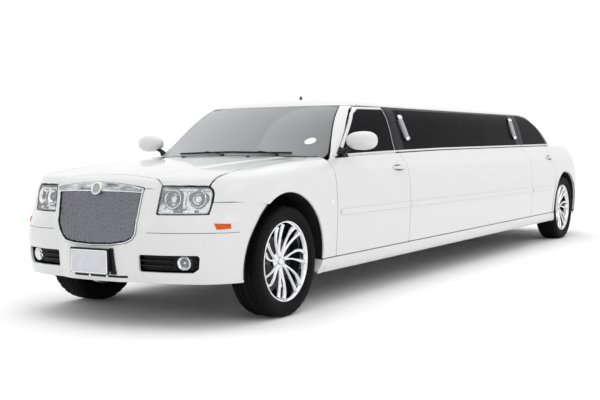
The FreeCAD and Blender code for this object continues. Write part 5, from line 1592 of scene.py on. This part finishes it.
intake = panel_data(NOSE, [nz(x, z, 0.006) for x, z in ((0.165, 0.348), (0.165, 0.488), (-0.165, 0.488), (-0.165, 0.348))], t=0.008, step=0.03, r=0.001, lift=-0.030)
place("lower_intake", [intake], PLASTIC, "body_shell", "black_plastic")
holder = rbox((-0.164, -0.896, 0.340), (0.160, -0.884, 0.501), 0.004)
hold2 = panel_data(NOSE, [nz(x, z, 0.004) for x, z in ((0.148, 0.338), (0.192, 0.338), (0.176, 0.503), (0.146, 0.503))], t=0.020, step=0.02, r=0.003, lift=0.010)
slot_ = panel_data(NOSE, [nz(x, z, 0.004) for x, z in ((0.262, 0.318), (0.262, 0.332), (-0.165, 0.332), (-0.165, 0.318))], t=0.004, step=0.02, r=0.001, lift=0.0015)
place("front_plate_holder", [holder, hold2, slot_], PLASTIC, "body_shell", "black_plastic", ("front_plate_bracket",))
plate = rbox((-0.152, -0.8985, 0.345), (0.148, -0.8955, 0.487), 0.0014)
place("front_plate", [plate], PLATE, "body_shell", "bright_chrome")
frame_bars = [rbox((-0.156, -0.9005, 0.342), (0.152, -0.8965, 0.349), 0.0015), rbox((-0.156, -0.9005, 0.483), (0.152, -0.8965, 0.490), 0.0015),
              rbox((-0.156, -0.9005, 0.342), (-0.149, -0.8965, 0.490), 0.0015), rbox((0.145, -0.9005, 0.342), (0.152, -0.8965, 0.490), 0.0015)]
bolts = [put(lathe([(0, 0.006), (0.006, 0.005), (0.008, 0.002), (0.008, -0.004), (0, -0.004)], 12), nose_pt(x, 0.325, 0.002), (0, -1, 0)) for x in (-0.03, 0.115)]
bolts += [put(lathe([(0, 0.003), (0.004, 0.0025), (0.0055, 0.0), (0.0055, -0.003), (0, -0.003)], 12), (x, -0.8985, 0.470), (0, -1, 0)) for x in (-0.089, 0.089)]
place("front_plate_trim", frame_bars + bolts, CHROME, "body_shell", "bright_chrome")

mk = panel_data(NOSE, [ny(-0.632, 0.622, 0.003), ny(-0.566, 0.627, 0.003), ny(-0.566, 0.656, 0.003), ny(-0.632, 0.660, 0.003)], t=0.008, step=0.012, r=0.003, lift=0.0035)
place("side_markers", both(mk), AMBER, "body_shell", "clear_lens")
st = panel_data(NOSE, [nz(0.400, 0.603, 0.003), nz(0.60, 0.603), nz(0.784, 0.603), ny(-0.520, 0.603, 0.003), ny(-0.520, 0.616, 0.003), nz(0.784, 0.616), nz(0.60, 0.616), nz(0.400, 0.616, 0.003)],
                t=0.006, step=0.012, r=0.003, lift=0.0035, estep=0.03)
place("bumper_strips", both(st), PAINT, "body_shell", "white_paint")
# Painted shade: a thin black strip laid on the cover stands in for the shadow line under the raised band; there is no
# real groove.
gv = panel_data(NOSE, [nz(0.395, 0.6005, 0.001), nz(0.60, 0.6005), nz(0.784, 0.6005), ny(-0.514, 0.6005, 0.001), ny(-0.514, 0.6035, 0.001), nz(0.784, 0.6035), nz(0.60, 0.6035), nz(0.395, 0.6035, 0.001)],
                t=0.004, step=0.012, r=0.0006, lift=0.0008, estep=0.03)
place("bumper_groove_painted_shade", both(gv), SEAL, "body_shell", "black_plastic")

# ------------------------------------------------------------------ handles, discs
def handle_(y, z, side=1):
    P = []
    for t in np.linspace(0, 1, 15):
        yy = y - 0.10 + 0.20 * t
        x = float(side_x(z)) + 0.004 + 0.030 * math.sin(math.pi * t) ** 0.5 - 0.004
        P.append((x, yy, z))
    g_ = tube(P, [0.009 + 0.003 * math.sin(math.pi * t) for t in np.linspace(0, 1, 15)], 10, 1.25)
    cup = panel_data(SIDE, [(y + 0.085 * math.cos(a), z - 0.002 + 0.024 * math.sin(a)) for a in np.linspace(0, 2 * math.pi, 25)[:-1]], t=0.003, step=0.03, r=0.0008, lift=0.0009)
    return g_, cup


hf, hfc = handle_(1.655, 0.948)
hr, hrc = handle_(5.575, 0.968)
for side, fn in (("left", lambda d: d), ("right", flip)):
    place("front_door_handle_" + side, [fn(hf)], PAINT, "door_front_" + side, "white_paint")
    place("rear_door_handle_" + side, [fn(hr)], PAINT, "door_rear_" + side, "white_paint")
    place("front_handle_cup_" + side, [fn(hfc)], TRIM, "door_front_" + side, "dark_trim")
    place("rear_handle_cup_" + side, [fn(hrc)], TRIM, "door_rear_" + side, "dark_trim")
sd = put(lathe([(0, 0.004), (0.012, 0.0035), (0.017, 0.0015), (0.018, -0.003), (0, -0.003)], 36), (float(side_x(0.736)) + 0.001, 0.545, 0.736), (1, 0, 0))
place("fender_discs", both(sd), CHROME, "body_shell", "bright_chrome")

# ------------------------------------------------------------------ mirrors
def mirror_head():
    cx, cy, cz = 0.995, 0.885, 1.160
    V, F = [], []
    n, m = 28, 40
    for i in range(n + 1):
        ph = math.pi * i / n
        for j in range(m):
            th = 2 * math.pi * j / m
            ux, uz, uy = math.sin(ph) * math.cos(th), math.sin(ph) * math.sin(th), -math.cos(ph)
            e = 0.82
            x = cx + 0.124 * math.copysign(abs(ux) ** e, ux)
            z = cz + 0.068 * math.copysign(abs(uz) ** e, uz) * (1 + 0.06 * ux)
            y = cy + 0.066 * uy
            y = min(y, cy + 0.030)
            V.append((x, y, z))
    for i in range(n):
        for j in range(m):
            k = (j + 1) % m
            F.append([i * m + j, i * m + k, (i + 1) * m + k, (i + 1) * m + j])
    V = np.array(V)
    V2, F2, idx = [], [], {}
    for a, v in enumerate(V):
        key = tuple(np.round(v, 5))
        if key not in idx:
            idx[key] = len(V2); V2.append(v)
    key_of = [idx[tuple(np.round(v, 5))] for v in V]
    for f in F:
        g = []
        for a in f:
            b = key_of[a]
            if b not in g:
                g.append(b)
        if len(g) > 2:
            F2.append(g)
    V2 = np.array(V2)
    if volume(V2, F2) < 0:
        F2 = [f[::-1] for f in F2]
    return V2, F2, None


mh = mirror_head()
E_ = lambda ax, az, n=36: [(0.995 + ax * math.copysign(abs(math.cos(t)) ** 0.8, math.cos(t)), 1.160 + az * math.copysign(abs(math.sin(t)) ** 0.8, math.sin(t))) for t in np.linspace(0, 2 * math.pi, n + 1)[:-1]]


def slab_xz(poly, y0, y1):
    n = len(poly)
    V = np.array([(x, y0, z) for x, z in poly] + [(x, y1, z) for x, z in poly])
    F = [list(range(n)), list(range(n, 2 * n))[::-1]]
    for i in range(n):
        j = (i + 1) % n
        F.append([j, i, n + i, n + j])
    if volume(V, F) < 0:
        F = [f[::-1] for f in F]
    return V, F, None


mglass = slab_xz(E_(0.098, 0.052), 0.9145, 0.9175)
mframe = slab_xz(E_(0.108, 0.059), 0.9125, 0.9155)
foot = [tube([(0.842, 0.868, 1.060), (0.856, 0.872, 1.082), (0.880, 0.878, 1.098), (0.915, 0.884, 1.108), (0.950, 0.885, 1.114), (0.985, 0.885, 1.116)], [0.030, 0.028, 0.023, 0.019, 0.017, 0.015], 12, 0.62)]
cap_ = panel_data(CS, [(0.800, 1.026, 0.006), (0.835, 1.058, 0.01), (0.900, 1.118, 0.01), (0.955, 1.088, 0.01), (0.972, 1.032, 0.006)], t=0.016, step=0.02, r=0.004, lift=0.009)
for side, fn in (("left", lambda d: d), ("right", flip)):
    b_ = "door_front_" + side
    place("mirror_head_" + side, [fn(mh)], PAINT, b_, "white_paint", ("mirror_" + side,))
    place("mirror_foot_" + side, [fn(foot[0]), fn(cap_)], PLASTIC, b_, "black_plastic")
    place("mirror_rim_" + side, [fn(mframe)], PLASTIC, b_, "black_plastic")
    place("mirror_glass_" + side, [fn(mglass)], CHROME, b_, "bright_chrome")

# ------------------------------------------------------------------ wipers, nozzles, label, antenna
def onscreen(x, z, lift):
    q = np.array([[CABF.s_of_x(x, z), z]])
    return CABF.pos(q)[0] + nrm(CABF, q)[0] * lift


wip = []
for x0, x1, xp in ((-0.52, 0.04, -0.36), (-0.02, 0.52, 0.10)):
    blade = [onscreen(x, 1.083 - 0.010 * abs(x) / 0.5, 0.005) for x in np.linspace(x0, x1, 14)]
    wip.append(tube(blade, 0.0042, 6, 1.5))
    mid = onscreen((x0 + x1) / 2, 1.082, 0.012)
    piv = onscreen(xp + 0.32, 1.058, 0.006)
    arm_ = [piv, piv * 0.66 + mid * 0.34 + np.array([0, -0.006, 0.006]), piv * 0.3 + mid * 0.7 + np.array([0, -0.004, 0.004]), mid]
    wip.append(tube(arm_, [0.008, 0.006, 0.005, 0.004], 8, 0.7))
    wip.append(put(lathe([(0, 0.010), (0.010, 0.009), (0.013, 0.004), (0.013, -0.012), (0, -0.012)], 20), piv, (0, -0.5, 0.86)))
place("wipers", wip, PLASTIC, "body_shell", "black_plastic")
nozz = []
for x in (-0.295, 0.295):
    z = float(top_z(np.array([x]), np.array([0.44]))[0])
    nozz.append(orient(rbox((x - 0.012, 0.430, z - 0.006), (x + 0.012, 0.450, z + 0.009), 0.004)))
place("washer_nozzles", nozz, PLASTIC, "bonnet_panel", "black_plastic")
lab = panel_data(CABF, [cf(0.586 + 0.041 * math.cos(a), 1.164 + 0.024 * math.sin(a)) for a in np.linspace(0, 2 * math.pi, 29)[:-1]], t=0.001, step=0.02, r=0.0003, lift=-0.0018)
place("blank_label", [lab], STICKER, "body_shell", "clear_lens")
za = 1.5190
place("roof_aerial", [lathe([(0, 0.030), (0.004, 0.029), (0.007, 0.020), (0.013, 0.006), (0.016, 0.0), (0.016, -0.006), (0, -0.006)], 24, "z", (0.0, 1.66, za))], PLASTIC, "body_shell", "black_plastic")

# ------------------------------------------------------------------ coach lamps on the pillars
def coach(y0, z0, y1, z1):
    xa_, xb_ = float(CS.g(np.array([y0]), np.array([z0]))[0][0]), float(CS.g(np.array([y1]), np.array([z1]))[0][0])
    a, b = np.array([xa_ + 0.018, y0, z0]), np.array([xb_ + 0.018, y1, z1])
    L = np.linalg.norm(b - a)
    body_ = put(lathe([(0, 0.010), (0.019, 0.010), (0.0225, 0.02), (0.0235, L / 2), (0.0220, L - 0.02), (0.0180, L - 0.012), (0, L - 0.012)], 28), a, b - a, (1, 0, 0))
    caps = [put(lathe([(0, -0.006), (0.012, -0.004), (0.022, 0.002), (0.0260, 0.010), (0.0260, 0.020), (0.023, 0.023), (0, 0.023)], 28), a, b - a, (1, 0, 0)),
            put(lathe([(0, L - 0.030), (0.023, L - 0.030), (0.0260, L - 0.026), (0.0260, L - 0.014), (0.021, L - 0.004), (0.010, L + 0.004), (0, L + 0.006)], 28), a, b - a, (1, 0, 0))]
    back_ = panel_data(CS, [(y0 - 0.020, z0 - 0.004, 0.006), (y0 + 0.020, z0 - 0.004, 0.006), (y1 + 0.020, z1 + 0.004, 0.006), (y1 - 0.020, z1 + 0.004, 0.006)], t=0.006, step=0.03, r=0.002, lift=0.005)
    return body_, caps, back_


c1, k1, b1 = coach(2.032, 1.166, 1.992, 1.370)
c2, k2, b2 = coach(4.680, 1.178, 4.700, 1.390)
place("coach_lamp_glasses", both(c1, c2), OPAL, "body_shell", "clear_lens")
place("coach_lamp_caps", both(*k1, *k2), CHROME, "body_shell", "bright_chrome")
place("coach_lamp_bases", both(b1, b2), PLASTIC, "body_shell", "black_plastic")

# ------------------------------------------------------------------ wheels
def tyre_mesh(n=144):
    prof = [(-0.098, 0.2665), (-0.104, 0.275), (-0.112, 0.292), (-0.1165, 0.312), (-0.1160, 0.332), (-0.1120, 0.346), (-0.1040, 0.3575)]
    tread = [(-0.0960, 0.3630), (-0.0900, 0.3648), (-0.0790, 0.3662), (-0.0660, 0.3668), (-0.0645, 0.3590), (-0.0585, 0.3590), (-0.0570, 0.3672), (-0.0450, 0.3676),
             (-0.0320, 0.3678), (-0.0305, 0.3598), (-0.0245, 0.3598), (-0.0230, 0.3680), (-0.0110, 0.3680), (0.0, 0.3680)]
    half = prof + tread
    full = half + [(-a, r) for a, r in half[::-1][1:]] + [(0.090, 0.262), (0.0, 0.262), (-0.090, 0.262)]
    P = np.array(full)
    m = len(P)
    V = np.zeros((n, m, 3))
    for i in range(n):
        t = 2 * math.pi * i / n
        r = P[:, 1].copy()
        sh = (np.abs(P[:, 0]) > 0.066) & (np.abs(P[:, 0]) < 0.112) & (r > 0.340)
        mid_ = (np.abs(P[:, 0]) < 0.058) & (r > 0.3625)
        if i % 4 == 0:
            r[sh] -= 0.0062
        if i % 4 == 2:
            r[mid_ & (P[:, 0] < 0)] -= 0.0030
        if i % 4 == 1:
            r[mid_ & (P[:, 0] > 0)] -= 0.0030
        V[i, :, 0] = P[:, 0]; V[i, :, 1] = r * math.cos(t); V[i, :, 2] = r * math.sin(t)
    F = []
    for i in range(n):
        k = (i + 1) % n
        for j in range(m):
            l = (j + 1) % m
            F.append([i * m + j, i * m + l, k * m + l, k * m + j])
    V = V.reshape(-1, 3)
    if volume(V, F) < 0:
        F = [f[::-1] for f in F]
    return V, F, None


def spoke(th0, side_):
    P, R = [], []
    for t in np.linspace(0, 1, 14):
        r = 0.046 + 0.204 * t
        a = 0.040 + 0.006 * math.sin(math.pi * t) + 0.036 * t ** 1.6
        sep = 0.060 + 0.085 * math.sin(math.pi * min(1, t * 1.0)) ** 0.9 * 0.9 + 0.075 * t
        swirl = -0.20 * t * t
        th = th0 + side_ * sep + swirl
        P.append((a, r * math.cos(th), r * math.sin(th)))
        R.append(0.0150 - 0.0040 * math.sin(math.pi * t) + 0.002 * t)
    return tube(P, R, 8, 1.5, up=(1, 0, 0))


def wheel_parts():
    rim_ = lathe([(0.270, 0.096), (0.2655, 0.1005), (0.2590, 0.0995), (0.2530, 0.0930), (0.2490, 0.0780), (0.2440, 0.0500), (0.2390, 0.0200), (0.2340, -0.0400),
                  (0.2440, -0.0800), (0.2560, -0.0920), (0.2660, -0.0950), (0.2705, -0.0900), (0.2620, -0.0780), (0.2520, -0.0600), (0.2440, -0.0300), (0.2480, 0.0250),
                  (0.2540, 0.0560), (0.2600, 0.0820), (0.2690, 0.0890)], 96)
    hub_ = lathe([(0, 0.046), (0.030, 0.046), (0.036, 0.050), (0.052, 0.050), (0.062, 0.046), (0.068, 0.036), (0.070, 0.0), (0.056, -0.010), (0, -0.010)], 64)
    cap = lathe([(0, 0.066), (0.014, 0.0650), (0.024, 0.061), (0.028, 0.054), (0.0285, 0.044), (0, 0.044)], 48)
    out = [rim_, hub_, cap]
    for k in range(7):
        for s_ in (-1, 1):
            out.append(spoke(2 * math.pi * k / 7 + 0.2, s_))
    for k in range(5):
        t = 2 * math.pi * k / 5 + 0.3
        out.append(lathe([(0, 0.0605), (0.0055, 0.0600), (0.0085, 0.0570), (0.0090, 0.0480), (0, 0.0480)], 6, "x", (0, 0.046 * math.cos(t), 0.046 * math.sin(t))))
    out.append(tube([(0.088, 0.256 * math.cos(0.9), 0.256 * math.sin(0.9)), (0.094, 0.244 * math.cos(0.9), 0.244 * math.sin(0.9)), (0.098, 0.232 * math.cos(0.9), 0.232 * math.sin(0.9))], [0.0035, 0.003, 0.0025], 8))
    return out


def disc_parts():
    d_ = lathe([(0.090, -0.002), (0.166, -0.002), (0.168, -0.005), (0.168, -0.011), (0.160, -0.012), (0.160, -0.018), (0.168, -0.019), (0.168, -0.025), (0.166, -0.028),
                (0.090, -0.028)], 96)
    hat_ = lathe([(0, 0.012), (0.070, 0.012), (0.080, 0.006), (0.086, -0.006), (0.092, -0.010), (0.092, -0.022), (0, -0.022)], 64)
    return [d_, hat_]


def shade_parts():
    """Painted shade: a dark lining inside the barrel stands in for the shade between the spokes."""
    return [lathe([(0.2428, 0.048), (0.2370, 0.020), (0.2318, -0.040), (0.2420, -0.082), (0.2446, -0.080), (0.2352, -0.040), (0.2400, 0.020), (0.2452, 0.048)], 96)]


TY = tyre_mesh()
WP = join(*wheel_parts())
DP = join(*disc_parts())
SP = join(*shade_parts())
for pos_, yy in (("front", 0.0), ("rear", WB)):
    for side, sx in (("left", 1), ("right", -1)):
        def move(d):
            V = d[0] + np.array([0.800, yy, 0.368])
            return flip((V, d[1], None)) if sx < 0 else (V, d[1], None)
        bd = "wheel_%s_%s" % (pos_, side)
        place("%s_tyre_tread_%s" % (pos_, side), [move(TY)], RUBBER, bd, "tyre_rubber", ("%s_tyre_%s" % (pos_, side),))
        place("%s_wheel_%s" % (pos_, side), [move(WP)], WHEELCHROME, bd, "bright_wheel", ("%s_rim_%s" % (pos_, side),))
        place("%s_brake_disc_%s" % (pos_, side), [move(DP)], DISC, bd, "cast_iron")
        place("%s_barrel_shade_%s" % (pos_, side), [move(SP)], BLACKGLOSS, bd, "black_plastic")

# ------------------------------------------------------------------ tail details
def tail_pt(x, z, lift):
    q = np.array([[TAIL.s_of_x(x, z), z]])
    return TAIL.pos(q)[0] + nrm(TAIL, q)[0] * lift


plq = [tz(x, z, 0.006) for x, z in ((-0.160, 0.790), (0.160, 0.790), (0.160, 0.892), (-0.160, 0.892))]
rear_plate = panel_data(TAIL, plq, t=0.003, step=0.03, r=0.001, lift=0.0085)
rear_frame = panel_data(TAIL, [tz(x, z, 0.010) for x, z in ((-0.172, 0.778), (0.172, 0.778), (0.172, 0.904), (-0.172, 0.904))], t=0.006, step=0.03, r=0.002, lift=0.0055)
place("rear_plate", [rear_plate], PLATE, "boot_panel", "bright_chrome")
place("rear_plate_holder", [rear_frame], PLASTIC, "boot_panel", "black_plastic")
trimbar = panel_data(TAIL, [tz(x, z, 0.004) for x, z in ((-0.30, 0.925), (0.30, 0.925), (0.30, 0.945), (-0.30, 0.945))], t=0.010, step=0.03, r=0.004, lift=0.0100)
place("boot_grip", [trimbar], CHROME, "boot_panel", "bright_chrome")
tips = []
for sx in (-1, 1):
    tips.append(lathe([(0.0335, 6.96), (0.0335, 7.150), (0.0355, 7.156), (0.0385, 7.154), (0.0395, 7.145), (0.0385, 7.00), (0.0365, 6.96)], 40, "y", (sx * 0.470, 0, 0.300)))
place("exhaust_tips", tips, CHROME, "body_shell", "exhaust_steel")
hsl = []
for z in (1.385,):
    hsl.append(panel_data(CABR, [cr(x, zz, 0.006) for x, zz in ((-0.14, 1.395), (0.14, 1.395), (0.14, 1.412), (-0.14, 1.412))], t=0.006, step=0.03, r=0.002, lift=0.0035))
place("high_stop_lamp", hsl, REDLENS, "body_shell", "red_lens")

# ------------------------------------------------------------------ interior
FZ = 0.262


def pad(name, d, body, replaces=()):
    ob = place(name, [d], LEATHER, body, "seat_leather", replaces)
    return ob


for i, (side, x) in enumerate((("left", 0.40), ("right", -0.40))):
    pad("front_seat_cushion_" + side, pillow((0.52, 0.50, 0.15), (x, 1.420, 0.495), (math.radians(-4), 0, 0), puff=0.55, pleats=4), "body_shell", ("front_seats",) if i == 0 else ())
    pad("front_seat_back_" + side, pillow((0.50, 0.62, 0.13), (x, 1.665, 0.830), (math.radians(105), 0, 0), puff=0.5, pleats=4), "body_shell")
    pad("front_headrest_" + side, pillow((0.26, 0.17, 0.095), (x, 1.735, 1.205), (math.radians(98), 0, 0), nx=18, ny=18, puff=0.7), "body_shell")
base = []
for x in (0.40, -0.40):
    base.append(rbox((x - 0.22, 1.24, FZ + 0.030), (x + 0.22, 1.62, 0.415), 0.02))
    for dx in (-0.06, 0.06):
        base.append(tube([(x + dx, 1.722, 1.08), (x + dx, 1.732, 1.17)], 0.006, 10))
    base.append(rbox((x - 0.235, 1.700, 0.60), (x + 0.235, 1.745, 1.06), 0.018))
place("front_seat_bases", base, TRIM, "body_shell", "dark_trim")
plinth = [rbox((-0.772, 5.05, FZ + 0.032), (0.772, 5.505, 0.430), 0.02), rbox((-0.772, 2.72, FZ + 0.032), (-0.350, 5.06, 0.430), 0.02),
          rbox((-0.745, 5.425, 0.45), (0.745, 5.500, 1.045), 0.02), rbox((-0.772, 2.72, 0.45), (-0.715, 5.02, 0.985), 0.018)]
place("bench_frame", plinth, TRIM, "body_shell", "dark_trim", ("passenger_bench",))
for k in range(3):
    x = -0.505 + 0.505 * k
    pad("rear_bench_cushion_%d" % (k + 1), pillow((0.495, 0.450, 0.14), (x, 5.235, 0.492), (math.radians(-3), 0, 0), puff=0.55, pleats=4), "body_shell")
    pad("rear_bench_back_%d" % (k + 1), pillow((0.490, 0.470, 0.12), (x, 5.395, 0.815), (math.radians(102), 0, 0), puff=0.5, pleats=4), "body_shell")
for k in range(4):
    y = 3.005 + 0.565 * k
    pad("side_bench_cushion_%d" % (k + 1), pillow((0.420, 0.555, 0.13), (-0.545, y, 0.490), (0, 0, 0), puff=0.55, pleats=5, axis=1), "body_shell")
    pad("side_bench_back_%d" % (k + 1), pillow((0.420, 0.550, 0.085), (-0.692, y, 0.775), (0, math.radians(84), 0), puff=0.5, pleats=5, axis=1), "body_shell")
# steering wheel, instrument hood, console
sw = []
c_, ax_ = np.array([0.40, 1.115, 0.955]), np.array([0, 0.90, 0.42]); ax_ /= np.linalg.norm(ax_)
u_ = np.array([1.0, 0, 0]); v_ = np.cross(ax_, u_)
sw.append(tube([c_ + 0.178 * (u_ * math.cos(t) + v_ * math.sin(t)) for t in np.linspace(0, 2 * math.pi, 49)[:-1]], 0.0135, 10, closed=True, up=ax_))
for t in (0.15, math.pi - 0.15, -math.pi / 2):
    d_ = u_ * math.cos(t) + v_ * math.sin(t)
    sw.append(tube([c_ - ax_ * 0.02 + d_ * r for r in (0.03, 0.08, 0.13, 0.172)], [0.020, 0.015, 0.012, 0.010], 8, 0.5, up=ax_))
sw.append(put(lathe([(0, 0.010), (0.040, 0.008), (0.058, 0.0), (0.062, -0.012), (0.050, -0.034), (0, -0.040)], 40), c_ - ax_ * 0.01, ax_))
sw.append(tube([c_ - ax_ * 0.03, c_ - ax_ * 0.12, c_ - ax_ * 0.22], [0.026, 0.030, 0.034], 14))
place("steering_wheel", sw, TRIM, "body_shell", "dark_trim")
cons = [rbox((-0.095, 1.165, FZ + 0.02), (0.095, 1.70, 0.505), 0.02), tube([(0, 1.25, 0.50), (0, 1.243, 0.56), (0, 1.236, 0.60)], [0.012, 0.009, 0.009], 10),
        lathe([(0, 0.030), (0.014, 0.026), (0.020, 0.012), (0.018, -0.006), (0.010, -0.012), (0, -0.012)], 24, "z", (0, 1.234, 0.612)),
        rbox((0.22, 1.010, 1.005), (0.58, 1.100, 1.075), 0.02)]
place("centre_console", cons, TRIM, "body_shell", "dark_trim")

# ------------------------------------------------------------------ materials of the parts kept as built
KEPT = {"arch_liners": UNDER, "cowl": PLASTIC, "dashboard": TRIM, "engine": IRON, "exhaust": STEEL, "floor_pan": UNDER, "front_knuckle_left": IRON,
        "front_knuckle_right": IRON, "front_subframe": UNDER, "fuel_tank": UNDER, "partition": TRIM, "propeller_shaft": STEEL, "rear_suspension": IRON}
for name_, mat_ in KEPT.items():
    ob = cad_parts[name_]
    ob.data.materials.clear()
    ob.data.materials.append(mat_)

# ------------------------------------------------------------------ floor, light, camera
FLOOR = node_mat("studio_floor", (0.97, 0.97, 0.97), 0.85, noise=0.01, nscale=2.0, rvar=0.05)
bpy.ops.mesh.primitive_plane_add(size=120, location=(0, 0, 0))
floor = bpy.context.object
floor.name = "studio_floor"
floor.data.materials.append(FLOOR)
world = bpy.data.worlds.new("studio")
bpy.context.scene.world = world
world.use_nodes = True
world.node_tree.nodes["Background"].inputs["Color"].default_value = (1, 1, 1, 1)
world.node_tree.nodes["Background"].inputs["Strength"].default_value = 1.05


def area(name, loc, size, power, target):
    li = bpy.data.lights.new(name, "AREA")
    li.shape = "RECTANGLE"
    li.size, li.size_y = size
    li.energy = power
    o = bpy.data.objects.new(name, li)
    o.location = loc
    d = Vector(target) - Vector(loc)
    o.rotation_euler = d.to_track_quat("-Z", "Y").to_euler()
    bpy.context.scene.collection.objects.link(o)
    return o


area("key", (8.5, -5.0, 6.5), (9, 5), 110, (0.6, -0.5, 0.5))
area("top", (0.0, 0.5, 8.0), (8, 14), 200, (0, 0.5, 0))

cam_data = bpy.data.cameras.new("camera")
cam = bpy.data.objects.new("camera", cam_data)
bpy.context.scene.collection.objects.link(cam)
bpy.context.scene.camera = cam
CAM = dict(pos=(4.33896673, -5.36998885, 1.11844003), yaw=0.555062295, pitch=0.0544141578, roll=-0.0113926233, f=972.809414)
cam_data.sensor_width = 36.0
cam_data.sensor_fit = "HORIZONTAL"
cam_data.lens = CAM["f"] * 36.0 / 600.0
cam_data.clip_end = 500
y_, p_, r_ = CAM["yaw"], CAM["pitch"], CAM["roll"]
fw = Vector((-math.sin(y_) * math.cos(p_), math.cos(y_) * math.cos(p_), -math.sin(p_)))
rt = Vector((math.cos(y_), math.sin(y_), 0))
up = rt.cross(fw)
r2 = rt * math.cos(r_) + up * math.sin(r_)
u2 = -rt * math.sin(r_) + up * math.cos(r_)
M = Matrix((r2, u2, -fw)).transposed().to_4x4()
M.translation = Vector((CAM["pos"][0], CAM["pos"][1] + OFF, CAM["pos"][2]))
cam.matrix_world = M
sc = bpy.context.scene
sc.view_settings.view_transform = "Standard"
sc.view_settings.look = "None"
